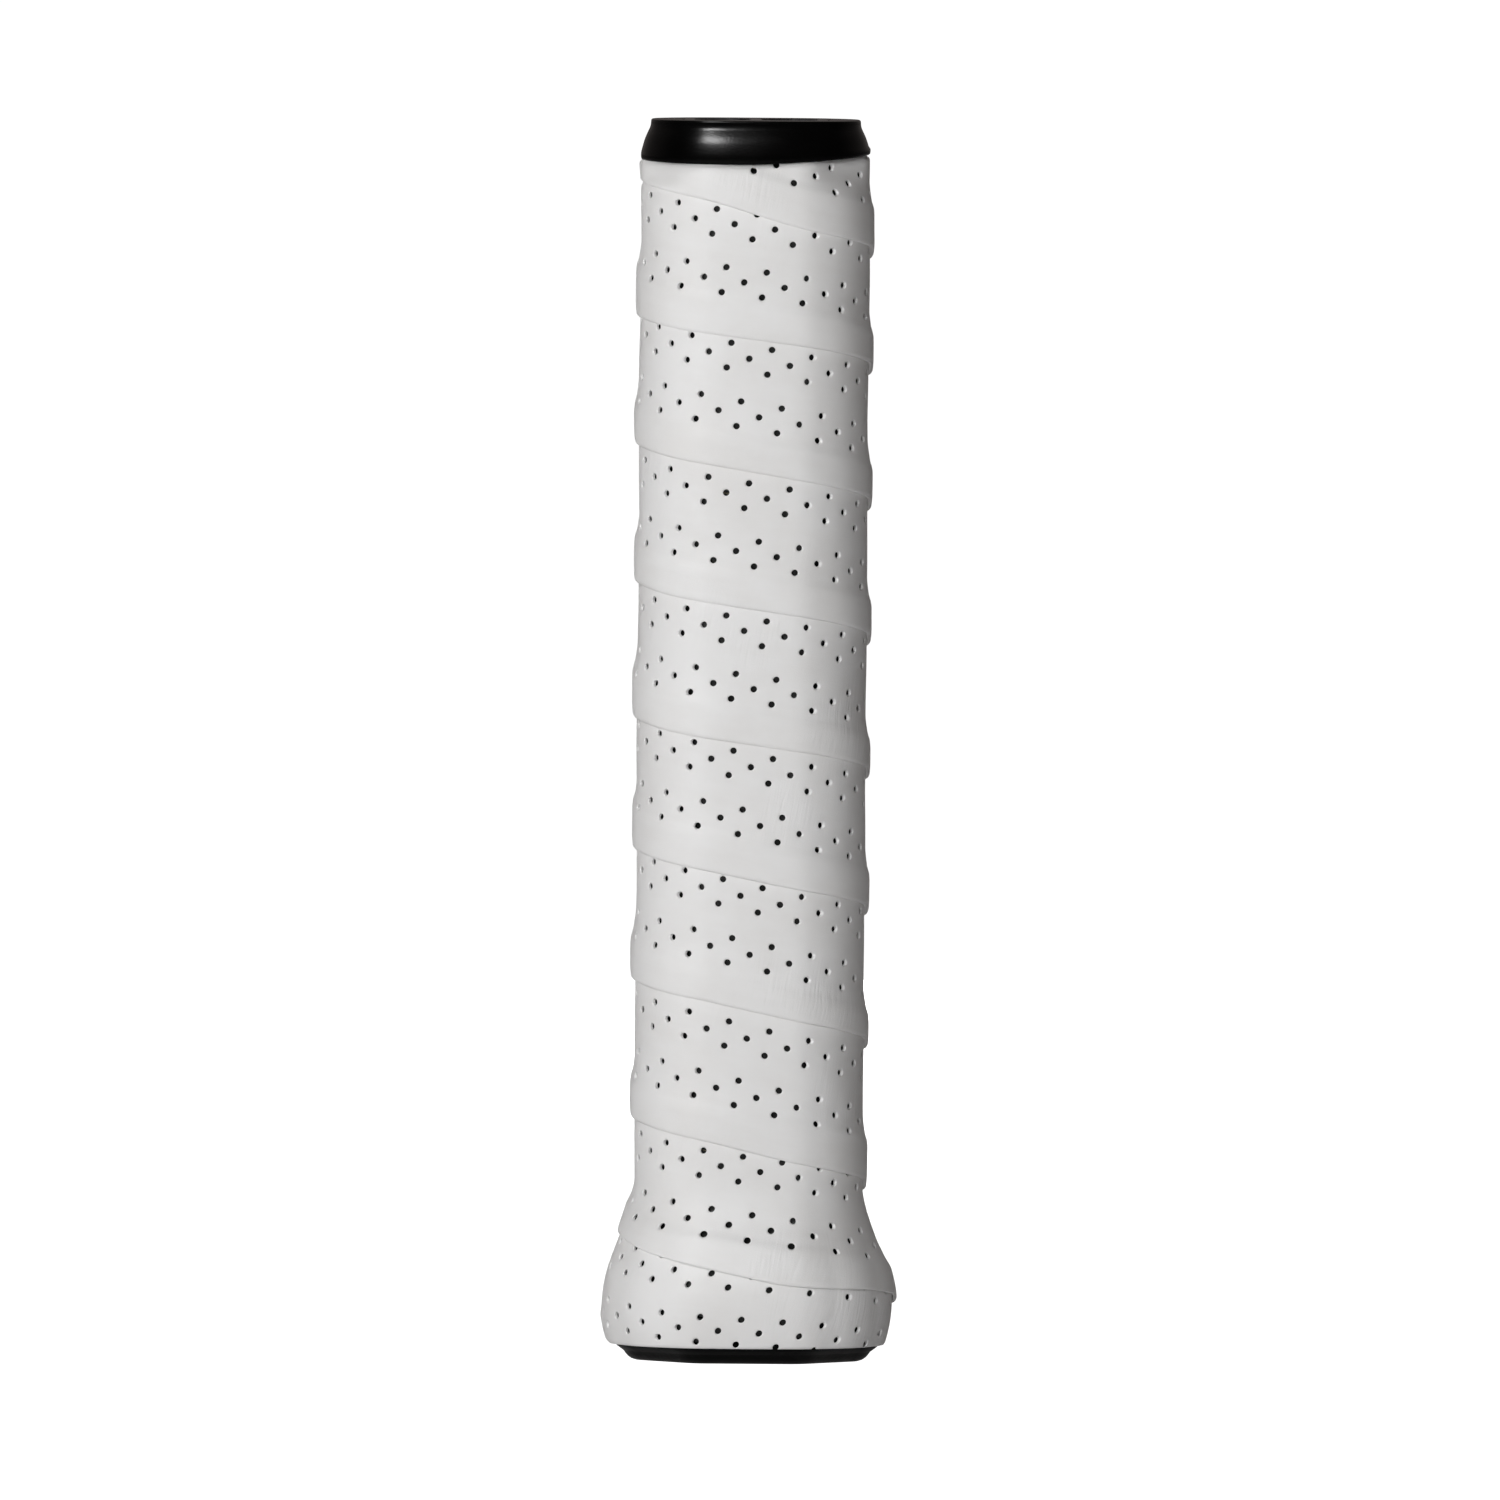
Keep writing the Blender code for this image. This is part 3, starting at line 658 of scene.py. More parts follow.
def overgrip_form():
    """The perforated sheet laid on the unrolled handle and trimmed level at both ends."""
    points, faces = perforated_sheet()
    along, up, dip = points[:, 0], points[:, 1], points[:, 2]
    dip = dip + edge_dip(up)
    s = along * math.cos(LEAD) + up * math.sin(LEAD)
    distances, rises = np.array(DRAWN_UP).T
    rise = spline(DRAWN_TURN * PERIMETER + distances, rises, s)
    up = up + rise * np.maximum(1.0 - up / FIRST_ROW_FOOT, 0.0)
    margin = np.maximum(up - LAST_ROW_TOP, 0.0) / (STRIP_WIDTH - LAST_ROW_TOP)
    up = up - margin * (STRIP_WIDTH - width_at(s))
    s = along * math.cos(LEAD) + up * math.sin(LEAD)
    z = EDGE_AT_LEFT - along * math.sin(LEAD) + up * math.cos(LEAD) + unevenness(s)
    keep = (z > WRAP_FOOT - TRIM_MARGIN) & (z < WRAP_TOP + TRIM_MARGIN)
    keep &= s < STRIP_END * PERIMETER
    flat = np.stack([even_out(s, z), z, dip], axis=1)
    form = sheet_form(flat, faces[keep[faces].all(axis=1)])
    split_sheet(form, UP, WRAP_TOP, clear_outer=True)
    split_sheet(form, UP, WRAP_FOOT, clear_inner=True)
    for share in (0.25, 1.0):
        split_sheet(form, UP, WRAP_FOOT + share * EDGE_REACH)
    trim_tips(form)
    for vert in form.verts:
        vert.co.z += edge_dip(vert.co.y - WRAP_FOOT)
    loose = [v for v in form.verts if not v.link_faces]
    bmesh.ops.delete(form, geom=loose, context="VERTS")
    return form


def trim_tips(form):
    """Cuts off the strip's two thin points."""
    run = TIP_WIDTH / math.sin(LEAD)
    low = min(v.co.x for v in form.verts)
    high = max(v.co.x for v in form.verts)
    split_sheet(form, ROUND, low + run, clear_inner=True)
    split_sheet(form, ROUND, high - run, clear_outer=True)


def wrap_bed(s, z):
    """The offset of the overgrip's inner face."""
    loose = smooth((SOFT_TOP - z) / SOFT_FADE)
    waves = ripple(s, z) * loose * smooth((z - RIPPLE_FOOT) / RIPPLE_GROWTH)
    soft = (fullness(s) + SOFT_LIFT) * loose + waves
    soft = np.maximum(soft, LEAST_GAP - FIT_GAP)
    lap = lap_height(s, z)
    seat = EDGE_SEAT * np.maximum(1.0 - across(s, z) / SEAT_REACH, 0.0) ** 2 * lap / LAP_STEP
    return WRAP_INNER + flare_at(z) - squeeze_at(s, z) + lap - seat + soft - pinch(s, z)


def make_overgrip():
    made = wrap_sheet("overgrip_wrap", overgrip_form(), WRAP_THICK, wrap_bed)
    return stand_for(made, "overgrip", "handle")


# -------- finishing tape

FINISH_START = 40.0
FINISH_LAP = 16.0
FINISH_STEP = 0.8
FINISH_ROWS = 9

# It climbs over the overgrip's next turn, and over its own start, a little ahead of their edges.
# It looks for a turn's edge from TURN_FROM below it to TURN_PAST above the next one.
CLIMB_AHEAD = 3.0
CLIMB_LENGTH = 2.8
OWN_AHEAD = 3.6
OWN_LENGTH = 3.0
TURN_FROM = -0.6
TURN_PAST = 3.0


def finish_bed(s, z):
    """Over both layers of the overgrip wherever it doubles, and over the tape's own start."""
    next_edge = ADVANCE + (unevenness(s - PERIMETER) - unevenness(s)) * math.cos(LEAD)
    doubled = np.zeros_like(z)
    for turn in range(-2, 2):
        on = s + turn * PERIMETER
        v = across(on, z)
        inside = (v > TURN_FROM) & (v < ADVANCE + TURN_PAST)
        climb = LAP_STEP * smooth((v - next_edge + CLIMB_AHEAD) / CLIMB_LENGTH)
        height = np.maximum(lap_height(on, z), climb)
        doubled = np.where(inside, np.maximum(doubled, height), doubled)
    past_start = s - FINISH_START - PERIMETER + OWN_AHEAD
    own = (FINISH_THICK + FIT_GAP) * smooth(past_start / OWN_LENGTH)
    return FINISH_INNER + flare_at(z) - squeeze_at(s, z) + doubled + own


def make_finishing_tape():
    """Vinyl tape once round the wrap's end. Its lower edge keeps clear of the collar's lip."""
    columns = np.arange(FINISH_START, FINISH_START + PERIMETER + FINISH_LAP, FINISH_STEP)
    rows = np.linspace(FINISH_FOOT, FINISH_TOP, FINISH_ROWS)
    lifts = np.maximum(lip_rise(columns) - EVEN_LIP, 0.0)
    grid = []
    for z, share in zip(rows, np.linspace(1.0, 0.0, len(rows))):
        grid += [(s, z + share * lift, 0.0) for s, lift in zip(columns, lifts)]
    form = sheet_form(np.array(grid), grid_quads(len(columns), len(rows)))
    made = wrap_sheet("finishing_tape_wrap", form, FINISH_THICK, finish_bed)
    return stand_for(made, "finishing_tape", "handle")


# -------- collar

AROUND = 360
HALVINGS = 30
PROFILE_STEPS = 4

# Outer profile from the lip up, as (offset, height). It swells over the tape and has a neck.
COLLAR_PROFILE = (
    (4.47, 180.38), (4.6, 180.25), (4.76, 180.3), (4.86, 180.5),
    (4.89, 181.0), (4.85, 181.6), (4.76, 182.2), (4.6, 183.0),
    (4.4, 183.75), (4.12, 184.5), (3.8, 185.2), (3.55, 185.75),
    (3.43, 186.25), (3.4, 186.7), (3.32, 186.93), (3.1, 187.0),
)
COLLAR_INSIDE = (
    (3.45, 184.8), (3.55, 184.0), (3.75, 183.0),
    (3.95, 182.0), (4.15, 181.2), (4.35, 180.5),
)
COLLAR_FULLNESS = 1.1
NECK_OFFSET = 3.0
COLLAR_ROUNDING = 8
SHAFT_FIT = 0.2
LIP_TOP = 183.5
LIP_FADE = 3.0
NIB = 0.22
NIB_WIDTH = 0.7
NIB_TOP = 180.9
NIB_FADE = 0.5


def distances_around():
    return np.arange(AROUND) * PERIMETER / AROUND


def turned_rings(profile):
    """Rings of points at (offset, height) pairs, as one array for each ring, in (s, z, offset)."""
    s = distances_around()
    return [np.stack([s, 0.0 * s + z, 0.0 * s + d], axis=1) for d, z in profile]


def fine_profile(profile):
    """More points on a smooth curve through the profile's points."""
    knots = np.arange(len(profile), dtype=float)
    at = np.linspace(0.0, len(profile) - 1.0, PROFILE_STEPS * (len(profile) - 1) + 1)
    offsets = spline(knots, [p[0] for p in profile], at)
    heights = spline(knots, [p[1] for p in profile], at)
    return list(zip(offsets, heights))


def ring_points(ring, bulge):
    """The ring in space, its corners rounded off and its sides bulging like the wrap's."""
    s, z, offset = ring[:, 0], ring[:, 1], ring[:, 2]
    points = wrap_points(s, z, offset + bulge * fullness(s))
    shifts = range(-COLLAR_ROUNDING, COLLAR_ROUNDING + 1)
    for _ in range(2):
        points = np.mean([np.roll(points, k, axis=0) for k in shifts], axis=0)
    return points


def lip_shape(rings):
    """Tilts the lip and lets it sag at the front and back. A moulding nib hangs at the front."""
    front = 0.25 * PERIMETER
    for ring in rings:
        s, z = ring[:, 0], ring[:, 1]
        low = smooth((LIP_TOP - z) / LIP_FADE)
        hang = smooth((NIB_TOP - z) / NIB_FADE)
        nib = NIB * np.exp(-(((s - front) / NIB_WIDTH) ** 2)) * hang
        ring[:, 1] = z + low * lip_rise(s) - nib
    return rings


def rounded_box_ring(half_x, half_y, corner, z, offset):
    """A ring round a rounded rectangle, met along rays through the outline's points at offset."""
    s = distances_around()
    aim = wrap_points(s, 0.0 * s, 0.0 * s + offset)[:, :2] / MM
    aim = aim / np.linalg.norm(aim, axis=1)[:, None]
    near = np.zeros(AROUND)
    far = np.full(AROUND, half_x + half_y)
    for _ in range(HALVINGS):
        mid = 0.5 * (near + far)
        past = np.abs(aim * mid[:, None]) - (half_x - corner, half_y - corner)
        out = np.hypot(np.maximum(past[:, 0], 0.0), np.maximum(past[:, 1], 0.0)) > corner
        out |= np.maximum(past[:, 0], past[:, 1]) > corner
        far = np.where(out, mid, far)
        near = np.where(out, near, mid)
    ring = aim * near[:, None]
    return np.concatenate([ring, np.full((AROUND, 1), z)], axis=1) * MM


def box_rings(size, steps, offset):
    """Rings round a rounded rectangle at each (growth, height). size is half x, half y, corner."""
    return [rounded_box_ring(*(side + grow for side in size), z, offset) for grow, z in steps]


def make_collar():
    """A moulded rubber sleeve: swollen skirt, neck, flat top with a close hole for the shaft."""
    hole = (SHAFT_HIGH[0] + SHAFT_FIT, SHAFT_HIGH[1] + SHAFT_FIT, SHAFT_CORNER + SHAFT_FIT)
    ceiling = COLLAR_INSIDE[0][1]
    top_steps = ((0.35, COLLAR_TOP), (0.1, COLLAR_TOP - 0.08), (0.0, COLLAR_TOP - 0.3))
    ceiling_steps = ((0.0, ceiling + 0.1), (0.1, ceiling))
    outer = lip_shape(turned_rings(fine_profile(COLLAR_PROFILE)))
    inside = lip_shape(turned_rings(COLLAR_INSIDE))
    rings = [ring_points(r, COLLAR_FULLNESS) for r in outer]
    rings += box_rings(hole, top_steps + ceiling_steps, NECK_OFFSET)
    rings += [ring_points(r, 0.5 * COLLAR_FULLNESS) for r in inside]
    faces = band_quads(len(rings), AROUND, closed=True)
    made = object_from_arrays("collar_sleeve", np.concatenate(rings), faces)
    made.data.set_sharp_from_angle(angle=SOFT_CREASE)
    return stand_for(made, "collar", "collar")


# -------- butt cap and trap door

# The cap's rim as (offset, height), from the flat bottom out to the flange.
CAP_RIM = (
    (3.7, 0.0), (4.3, 0.04), (4.9, 0.22), (5.4, 0.55),
    (5.8, 1.0), (6.1, 1.42), (6.22, 1.5), (6.7, 1.85),
    (7.1, 2.15), (7.3, 2.4), (7.3, 3.1), (7.15, 3.25),
)
CAP_FLOOR = 3.2
CAP_WALL = 1.8
CAP_FILLET = 0.6
SKIRT_LEVELS = 14
SOCKET_OFFSET = 1.0
RIBS = 8
RIB_FOOT = CAP_FLOOR - 0.5
RIB_TOP = 22.0
RIB_LEVELS = 9
RIB_HALF = 0.8
RIB_GAP = 0.05

# Door, and the stepped hole it closes. The hole's inner step has tighter corners.
DOOR_CORNER = 3.6
DOOR_GAP = 0.2
DOOR_EDGE = 0.3
LEDGE_Z = 2.2
LEDGE = 1.5
LEDGE_TIGHTER = 1.1
DOOR_THICK = 1.45
LEG_THICK = 1.1
LEG_HALF_WIDTH = 2.6
LEG_GAP = 0.25
LEG_ROOT = 0.5
LEG_EDGE = 0.2
NOTCH_HALF_WIDTH = 2.4
NOTCH_REACH = 1.3
NOTCH_DEPTH = 0.8
NOTCH_CLEAR = 1.0
NOTCH_EDGE = 0.35


def skirt_at(z):
    """The offset of the outside of the cap's skirt."""
    return PALLET_OFFSET + flare_at(max(z, TUCK_FOOT))


def offset_ring(offset, z):
    s = distances_around()
    return wrap_points(s, 0.0 * s + z, 0.0 * s + offset)


def cap_rings():
    """Round the cap's section: rim, outside of the skirt, inside of it, then the stepped hole."""
    levels = np.linspace(TUCK_FOOT, CAP_TOP, SKIRT_LEVELS)
    rings = [offset_ring(d, z) for d, z in CAP_RIM]
    rings += [offset_ring(skirt_at(z), z) for z in levels]
    rings += [offset_ring(max(SOCKET_OFFSET, skirt_at(z) - CAP_WALL), z) for z in levels[::-1]]
    rings.append(offset_ring(skirt_at(TUCK_FOOT) - CAP_WALL - CAP_FILLET, CAP_FLOOR))
    x = DOOR_HIGH[0] + DOOR_GAP
    y = DOOR_HIGH[1] + DOOR_GAP
    corner = DOOR_CORNER + DOOR_GAP
    hole = (x - LEDGE - DOOR_GAP, y - LEDGE - DOOR_GAP, corner - LEDGE_TIGHTER)
    hole_steps = ((0.1, CAP_FLOOR), (0.0, CAP_FLOOR - 0.1), (0.0, LEDGE_Z))
    recess_steps = ((0.0, LEDGE_Z), (0.0, 0.3), (0.07, 0.1), (0.3, 0.0))
    rings += box_rings(hole, hole_steps, SOCKET_OFFSET)
    return rings + box_rings((x, y, corner), recess_steps, SOCKET_OFFSET)


def reach(offset, z, angle):
    """How far from the axis the outline at this offset is, in this direction."""
    ring = offset_ring(offset, z) / MM
    around = np.arctan2(ring[:, 1], ring[:, 0])
    order = np.argsort(around)
    away = np.hypot(ring[:, 0], ring[:, 1])
    return float(np.interp(angle, around[order], away[order], period=TAU))


def rib(angle, levels):
    """One rib's corners and faces: a plate from the socket into the skirt."""
    along = np.array([math.cos(angle), math.sin(angle)])
    side = np.array([-along[1], along[0]]) * RIB_HALF
    points = []
    for z in levels:
        inner = along * (reach(SOCKET_OFFSET, z, angle) + RIB_GAP)
        outer = along * reach(skirt_at(z) - 0.5 * CAP_WALL, z, angle)
        for corner in (inner - side, outer - side, outer + side, inner + side):
            points.append((*corner, z))
    top = 4 * len(levels) - 4
    sides = band_quads(len(levels), 4)
    return np.array(points) * MM, [[3, 2, 1, 0], *sides, [top, top + 1, top + 2, top + 3]]


def make_butt_cap():
    rings = cap_rings()
    points = [np.concatenate(rings)]
    faces = band_quads(len(rings), AROUND, closed=True)
    count = len(points[0])
    levels = np.linspace(RIB_FOOT, RIB_TOP, RIB_LEVELS)
    for arm in range(RIBS):
        rib_points, rib_faces = rib(arm * TAU / RIBS, levels)
        points.append(rib_points)
        faces += [[i + count for i in face] for face in rib_faces]
        count += len(rib_points)
    made = object_from_arrays("butt_cap_moulding", np.concatenate(points), faces)
    made.data.set_sharp_from_angle(angle=HARD_CREASE)
    return stand_for(made, "butt_cap", "handle")


def rounded_bar(low, high, edge):
    """A box between two corners, in millimetres, with rounded edges, as a bmesh."""
    form = bmesh.new()
    bmesh.ops.create_cube(form, size=1.0)
    for vert in form.verts:
        for axis in range(3):
            vert.co[axis] = (low[axis] if vert.co[axis] < 0.0 else high[axis]) * MM
    bmesh.ops.bevel(form, geom=form.edges[:], offset=edge * MM, segments=3, affect="EDGES")
    return form


def door_plate():
    """The door's plate as a closed stack of rings, with eased edges."""
    size = (DOOR_HIGH[0], DOOR_HIGH[1], DOOR_CORNER)
    foot = DOOR_LOW[2]
    head = foot + DOOR_THICK
    edge = DOOR_EDGE
    lower = ((-edge, foot), (-0.4 * edge, foot + 0.12 * edge), (-0.12 * edge, foot + 0.4 * edge))
    sides = ((0.0, foot + edge), (0.0, head - edge))
    upper = ((-0.3 * edge, head - 0.3 * edge), (-edge, head))
    rings = box_rings(size, lower + sides + upper, SOCKET_OFFSET)
    faces = band_quads(len(rings), AROUND)
    last = (len(rings) - 1) * AROUND
    faces.append(list(range(AROUND))[::-1])
    faces.append(list(range(last, last + AROUND)))
    return object_from_arrays("trap_door_moulding", np.concatenate(rings), faces)


def cut(made, form):
    """Takes a bmesh solid out of an object."""
    cutter = add_object("cutter", mesh_from_form("cutter", form))
    modifier = made.modifiers.new("cut", "BOOLEAN")
    modifier.object = cutter
    modifier.solver = "EXACT"
    bpy.context.view_layer.update()
    depsgraph = bpy.context.evaluated_depsgraph_get()
    solved = bpy.data.meshes.new_from_object(made.evaluated_get(depsgraph))
    made.modifiers.clear()
    made.data = solved
    bpy.data.objects.remove(cutter)


def add_form(made, form):
    """Adds a bmesh solid's faces to an object's mesh."""
    extra = mesh_from_form("extra", form)
    whole = bmesh.new()
    whole.from_mesh(made.data)
    whole.from_mesh(extra)
    whole.to_mesh(made.data)
    whole.free()
    bpy.data.meshes.remove(extra)


def make_trap_door():
    """The plate, with a finger notch at its back edge and a leg inside each end."""
    made = door_plate()
    foot = DOOR_LOW[2]
    back = DOOR_HIGH[1]
    notch_low = (-NOTCH_HALF_WIDTH, back - NOTCH_REACH, foot - NOTCH_CLEAR)
    notch_high = (NOTCH_HALF_WIDTH, back + NOTCH_CLEAR, foot + NOTCH_DEPTH)
    cut(made, rounded_bar(notch_low, notch_high, NOTCH_EDGE))
    far = DOOR_HIGH[0] - LEDGE - LEG_GAP
    for side in (-1, 1):
        ends = sorted((side * far, side * (far - LEG_THICK)))
        leg_low = (ends[0], -LEG_HALF_WIDTH, foot + LEG_ROOT)
        leg_high = (ends[1], LEG_HALF_WIDTH, DOOR_HIGH[2])
        add_form(made, rounded_bar(leg_low, leg_high, LEG_EDGE))
    made.data.shade_smooth()
    made.data.set_sharp_from_angle(angle=HARD_CREASE)
    return stand_for(made, "trap_door", "trap_door")


# -------- materials

# Dark and light of each colour.
OVERGRIP_WHITES = ((0.825, 0.818, 0.81), (0.862, 0.86, 0.857))
BLACKS = ((0.0008, 0.0008, 0.0008), (0.0016, 0.0016, 0.0016))
STEELS = ((0.42, 0.42, 0.43), (0.6, 0.6, 0.6))
CARBONS = ((0.004, 0.004, 0.005), (0.045, 0.045, 0.048))
# For the leather and the foam, the dark colour is painted shade in the creases between the cells.
LEATHERS = ((0.016, 0.016, 0.015), (0.034, 0.034, 0.032))
FOAMS = ((0.5, 0.43, 0.3), (0.66, 0.58, 0.43))

# Noise scales are per metre, or on the tape's own coordinates per millimetre. Bump depths are in
# metres, and so is TOW, a carbon tow's width.
CLOUD_SCALE = 150.0
CLOUD_SPREAD = (0.3, 0.7)
TOW = 0.0016


class Nodes:
    """A short way to write a node tree. owner is a material or a world."""

    def __init__(self, owner):
        owner.use_nodes = True
        self.owner = owner
        self.tree = owner.node_tree

    def add(self, kind, **settings):
        node = self.tree.nodes.new(kind)
        self.fill(node, settings)
        return node

    def fill(self, node, settings):
        """Sets properties and inputs, or links inputs. _ in an input's name stands for a space."""
        for key, value in settings.items():
            name = key.replace("_", " ")
            if isinstance(value, bpy.types.NodeSocket):
                self.link(value, node.inputs[name])
            elif name in node.inputs.keys():
                node.inputs[name].default_value = value
            else:
                setattr(node, key, value)

    def set(self, **settings):
        """Fills in the material's shader."""
        self.fill(self.tree.nodes["Principled BSDF"], settings)

    def link(self, source, target):
        self.tree.links.new(source, target)

    def position(self, scale=(1.0, 1.0, 1.0), space="Object"):
        """Coordinates times scale, in metres. The UV ones are the tape's own, in millimetres."""
        place = self.add("ShaderNodeTexCoord").outputs[space]
        return self.add("ShaderNodeMapping", Vector=place, Scale=scale).outputs["Vector"]

    def noise(self, vector, scale, **more):
        node = self.add("ShaderNodeTexNoise", Vector=vector, Scale=scale, **more)
        return node.outputs["Fac"]

    def ramp(self, value, places, colours):
        """One colour up to the first place, another from the second."""
        node = self.add("ShaderNodeValToRGB", Fac=value)
        for element, place, colour in zip(node.color_ramp.elements, places, colours):
            element.position = place
            element.color = (*colour, 1.0)
        return node.outputs["Color"]

    def span(self, value, low, high, from_low=0.0, from_high=1.0):
        """The value, from_low to from_high, spread over low to high."""
        limits = {"From_Min": from_low, "From_Max": from_high, "To_Min": low, "To_Max": high}
        return self.add("ShaderNodeMapRange", Value=value, **limits).outputs["Result"]

    def math(self, operation, *values):
        node = self.add("ShaderNodeMath", operation=operation)
        for socket, value in zip(node.inputs, values):
            if isinstance(value, float):
                socket.default_value = value
            else:
                self.link(value, socket)
        return node.outputs["Value"]

    def mix(self, factor, first, second):
        """The first number, or the second where the factor is one."""
        node = self.add("ShaderNodeMix", data_type="FLOAT", Factor=factor, A=first, B=second)
        return node.outputs["Result"]

    def xyz(self, vector):
        return self.add("ShaderNodeSeparateXYZ", Vector=vector).outputs

    def bump(self, height, distance, **normal):
        node = self.add("ShaderNodeBump", Height=height, Distance=distance, **normal)
        return node.outputs["Normal"]


def new_nodes(name):
    return Nodes(bpy.data.materials.new(name))


def overgrip_material():
    """White polyurethane felt: a fine nap, faint drag lines and creases, and a little soiling."""
    nodes = new_nodes("overgrip_felt_white")
    at = nodes.position()
    nap = nodes.noise(at, 5200.0, Detail=3.0, Roughness=0.6)
    cloud = nodes.noise(at, 90.0, Detail=4.0)
    drag = nodes.noise(nodes.position((0.12, 0.5, 1.0), "UV"), 0.9, Detail=3.0)
    crease = nodes.noise(nodes.position((1.7, 0.16, 1.0), "UV"), 1.0)
    patch = nodes.span(nodes.noise(at, 60.0), 0.0, 1.0, from_low=0.5, from_high=0.7)
    folds = nodes.math("MULTIPLY", crease, patch)
    soiled = nodes.math("MULTIPLY_ADD", drag, 0.35, cloud)
    soft = nodes.bump(drag, 0.000012)
    folded = nodes.bump(folds, 0.00012, Normal=soft)
    nodes.set(
        Base_Color=nodes.ramp(soiled, (0.5, 0.8), OVERGRIP_WHITES),
        Roughness=nodes.span(nap, 0.45, 0.65),
        Normal=nodes.bump(nap, 0.00002, Normal=folded),
        Sheen_Weight=0.12,
        Specular_IOR_Level=0.4,
    )
    return nodes


def moulded_material(name, colours, gloss, grain, shine=0.5, stretch=(1.0, 1.0, 1.0)):
    """A solid with a clouded colour between two, an uneven gloss and a fine grain.

    gloss is the lowest and highest roughness, grain is a noise scale and its bump depth.
    """
    nodes = new_nodes(name)
    at = nodes.position(stretch)
    clouds = nodes.noise(at, CLOUD_SCALE, Detail=4.0)
    fine = nodes.noise(at, grain[0], Detail=3.0)
    nodes.set(
        Base_Color=nodes.ramp(clouds, CLOUD_SPREAD, colours),
        Roughness=nodes.span(clouds, *gloss, *CLOUD_SPREAD),
        Normal=nodes.bump(fine, grain[1]),
        Specular_IOR_Level=shine,
    )
    return nodes


def moulded_black(name, gloss, grain, shine):
    return moulded_material(name, BLACKS, gloss, grain, shine=shine)


def steel_material():
    """Drawn steel wire with fine lines along it."""
    grain = (2600.0, 0.00001)
    nodes = moulded_material("staple_steel", STEELS, (0.2, 0.38), grain, stretch=(1.0, 0.1, 1.0))
    nodes.set(Metallic=1.0)
    return nodes


def pebbled_material(name, colours, gloss, scale, depth):
    """Rounded cells with creases between them, for leather grain and for foam. Their colour is
    darker down in the creases, which is painted shade, and also varies at random.
    """
    nodes = new_nodes(name)
    at = nodes.position()
    wander = nodes.noise(at, 0.4 * scale)
    look = {"feature": "SMOOTH_F1", "Vector": at, "Scale": scale, "Smoothness": 0.4}
    cells = nodes.add("ShaderNodeTexVoronoi", **look)
    height = nodes.math("MULTIPLY_ADD", cells.outputs["Distance"], -1.0, wander)
    nodes.set(
        # Painted shade: the dark colour lies down in the creases between the cells.
        Base_Color=nodes.ramp(height, (0.0, 0.5), colours),
        Roughness=nodes.span(height, *gloss),
        Normal=nodes.bump(height, depth),
    )
    return nodes


def carbon_material():
    """Twill-woven carbon under clear resin. Where the tube is sawn off, its layers show."""
    nodes = new_nodes("shaft_carbon")
    place = nodes.xyz(nodes.add("ShaderNodeTexCoord").outputs["Object"])
    weft = nodes.math("MULTIPLY", nodes.math("ADD", place["X"], place["Y"]), 1.0 / TOW)
    warp = nodes.math("MULTIPLY", place["Z"], 1.0 / TOW)
    step = nodes.math("ADD", nodes.math("FLOOR", weft), nodes.math("FLOOR", warp))
    over = nodes.math("LESS_THAN", nodes.math("FLOORED_MODULO", step, 4.0), 1.5)
    crown = nodes.mix(over, nodes.math("PINGPONG", weft, 0.5), nodes.math("PINGPONG", warp, 0.5))
    tow = nodes.math("ADD", crown, nodes.math("MULTIPLY", over, 0.3))
    layers = nodes.noise(nodes.position((1.0, 1.0, 0.05)), 2600.0, Detail=3.0)
    facing = nodes.xyz(nodes.add("ShaderNodeNewGeometry").outputs["Normal"])
    sawn = nodes.math("GREATER_THAN", nodes.math("ABSOLUTE", facing["Z"]), 0.9)
    value = nodes.mix(sawn, tow, layers)
    nodes.set(
        Base_Color=nodes.ramp(value, (0.0, 0.8), CARBONS),
        Roughness=nodes.span(sawn, 0.35, 0.7),
        Normal=nodes.bump(value, 0.00006),
        Coat_Weight=0.6,
        Coat_Roughness=0.08,
    )
    return nodes


def paint(made, nodes):
    made.data.materials.clear()
    made.data.materials.append(nodes.owner)


def paint_nodes():
    """Materials for the CAD nodes that are shown as they are."""
    steel = steel_material()
    leather = ("base_grip_leather", LEATHERS, (0.45, 0.65), 1400.0, 0.00008)
    foam = (FOAMS, (0.8, 0.95), 2200.0, 0.00006)
    looks = {
        "base_grip": pebbled_material(*leather),
        "shaft": carbon_material(),
        "pallet_front": pebbled_material("pallet_front_foam", *foam),
        "pallet_back": pebbled_material("pallet_back_foam", *foam),
        "butt_staple_front": steel,
        "butt_staple_back": steel,
    }
    for node, nodes in looks.items():
        paint(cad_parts[node], nodes)


# -------- stage

# In metres and watts. The floor is low enough for the trap door to open above it.
FLOOR_SIZE = 60.0
FLOOR_Z = -0.0125
FLOOR_GREY = 0.6
ROOM_TINT = (1.0, 0.9, 0.86, 1.0)
WHITE = (1.0, 1.0, 1.0, 1.0)

# Least and greatest glow, and where they are: how far out on the floor, how far back in the room.
FLOOR_GLOW = (0.92, 1.0, 0.08, 0.5)
ROOM_GLOW = (0.03, 0.14, -0.15, 0.35)

# Each light's azimuth from the camera, + to its right, its elevation, size and power.
LIGHT_DISTANCE = 1.5
KEY = (-25.5, -1.0, (1.4, 1.4), 34.8)
BACK = (180.0, 10.0, (0.9, 1.2), 14.0)
GLINT = (-25.0, 40.0, (0.42, 0.3), 30.0)

# Camera: a long lens, a little above the handle, rolled slightly.
CAMERA_DISTANCE = 5.0
CAMERA_ELEVATION = 2.2
CAMERA_ROLL = 0.43
CAMERA_RANGE = 200.0
FRAME_WIDTH = 0.2262
AIM = Vector((-0.0002, 0.0, 0.0919))
SENSOR = 36.0


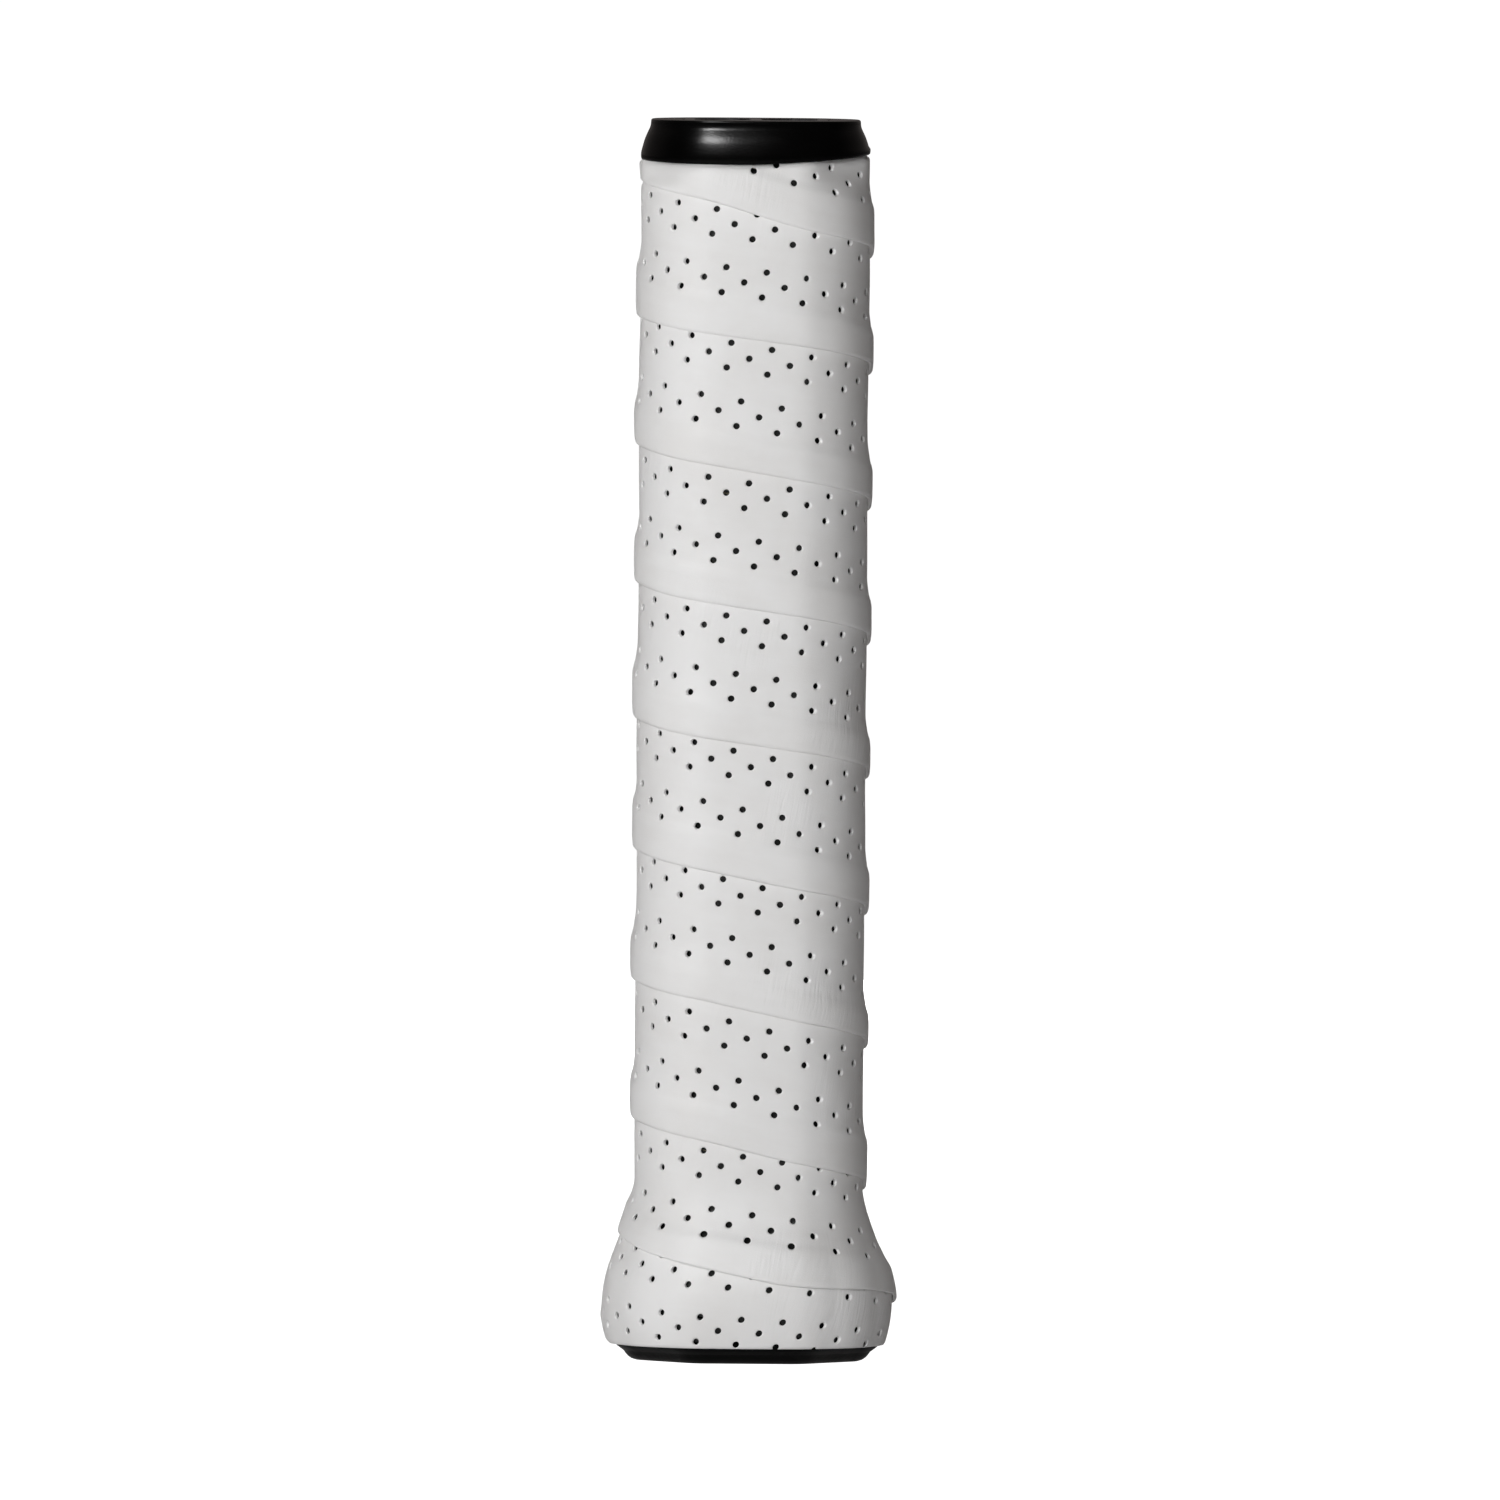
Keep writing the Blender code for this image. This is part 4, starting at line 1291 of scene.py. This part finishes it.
def floor_material():
    """A white floor. Its own glow, which only the camera sees, keeps it white far away."""
    nodes = new_nodes("floor_white")
    seen = nodes.add("ShaderNodeLightPath").outputs["Is Camera Ray"]
    place = nodes.add("ShaderNodeTexCoord").outputs["Object"]
    away = nodes.add("ShaderNodeVectorMath", operation="LENGTH", Vector=place)
    glow = nodes.span(away.outputs["Value"], *FLOOR_GLOW)
    nodes.set(
        Base_Color=(FLOOR_GREY, FLOOR_GREY, FLOOR_GREY, 1.0),
        Roughness=0.9,
        Emission_Color=WHITE,
        Emission_Strength=nodes.math("MULTIPLY", seen, glow),
    )
    return nodes


def make_stage():
    form = bmesh.new()
    bmesh.ops.create_grid(form, x_segments=1, y_segments=1, size=FLOOR_SIZE)
    floor = add_object("floor", mesh_from_form("floor", form))
    floor.location.z = FLOOR_Z
    paint(floor, floor_material())


def make_world():
    """White to the camera. As light, a dim room with a bright wall behind the handle."""
    world = bpy.data.worlds.new("studio")
    bpy.context.scene.world = world
    nodes = Nodes(world)
    nodes.tree.nodes.clear()
    seen = nodes.add("ShaderNodeLightPath").outputs["Is Camera Ray"]
    back = nodes.xyz(nodes.add("ShaderNodeTexCoord").outputs["Generated"])["Y"]
    glow = nodes.span(back, *ROOM_GLOW)
    glow.node.interpolation_type = "SMOOTHSTEP"
    room = nodes.add("ShaderNodeBackground", Color=ROOM_TINT, Strength=glow)
    white = nodes.add("ShaderNodeBackground", Color=WHITE)
    blend = nodes.add("ShaderNodeMixShader", Fac=seen)
    nodes.link(room.outputs["Background"], blend.inputs[1])
    nodes.link(white.outputs["Background"], blend.inputs[2])
    nodes.add("ShaderNodeOutputWorld", Surface=blend.outputs["Shader"])


def area_light(name, azimuth, elevation, size, power):
    """A soft box aimed at the middle of the handle."""
    data = bpy.data.lights.new(name, "AREA")
    data.shape = "RECTANGLE"
    data.size = size[0]
    data.size_y = size[1]
    data.energy = power
    made = add_object(name, data)
    made.visible_camera = False
    a = math.radians(azimuth)
    e = math.radians(elevation)
    away = Vector((math.sin(a) * math.cos(e), -math.cos(a) * math.cos(e), math.sin(e)))
    place_facing(made, (cad_low + cad_high) / 2.0 + away * LIGHT_DISTANCE, away)
    return made


def place_facing(made, place, away):
    """Puts a light or camera in its place, looking back along away."""
    made.location = place
    made.rotation_mode = "QUATERNION"
    made.rotation_quaternion = away.to_track_quat("Z", "Y")


def make_lights():
    """Neither the key nor the back light shows as a reflection. The glint is only that."""
    area_light("key", *KEY).visible_glossy = False
    area_light("back", *BACK).visible_glossy = False
    area_light("glint", *GLINT).visible_diffuse = False


def make_camera():
    data = bpy.data.cameras.new("camera")
    data.sensor_width = SENSOR
    data.lens = SENSOR * CAMERA_DISTANCE / FRAME_WIDTH
    data.clip_end = CAMERA_RANGE
    made = add_object("camera", data)
    e = math.radians(CAMERA_ELEVATION)
    away = Vector((0.0, -math.cos(e), math.sin(e)))
    place_facing(made, AIM + away * CAMERA_DISTANCE, away)
    roll = Quaternion((0.0, 0.0, 1.0), math.radians(CAMERA_ROLL))
    made.rotation_quaternion = made.rotation_quaternion @ roll
    bpy.context.scene.camera = made


# -------- assembly


def build():
    rubber = moulded_black("collar_rubber_black", (0.19, 0.24), (3200.0, 0.000012), 0.1)
    vinyl = moulded_black("finishing_vinyl_black", (0.3, 0.4), (2000.0, 0.00002), 0.4)
    cap_nylon = moulded_black("cap_nylon_black", (0.34, 0.5), (1700.0, 0.00003), 0.16)
    door_nylon = moulded_black("door_nylon_black", (0.28, 0.42), (1700.0, 0.00002), 0.3)
    paint(make_overgrip(), overgrip_material())
    paint(make_collar(), rubber)
    paint(make_finishing_tape(), vinyl)
    paint(make_butt_cap(), cap_nylon)
    paint(make_trap_door(), door_nylon)
    paint_nodes()
    make_stage()
    make_world()
    make_lights()
    make_camera()
    bpy.context.scene.view_settings.view_transform = "Standard"


build()
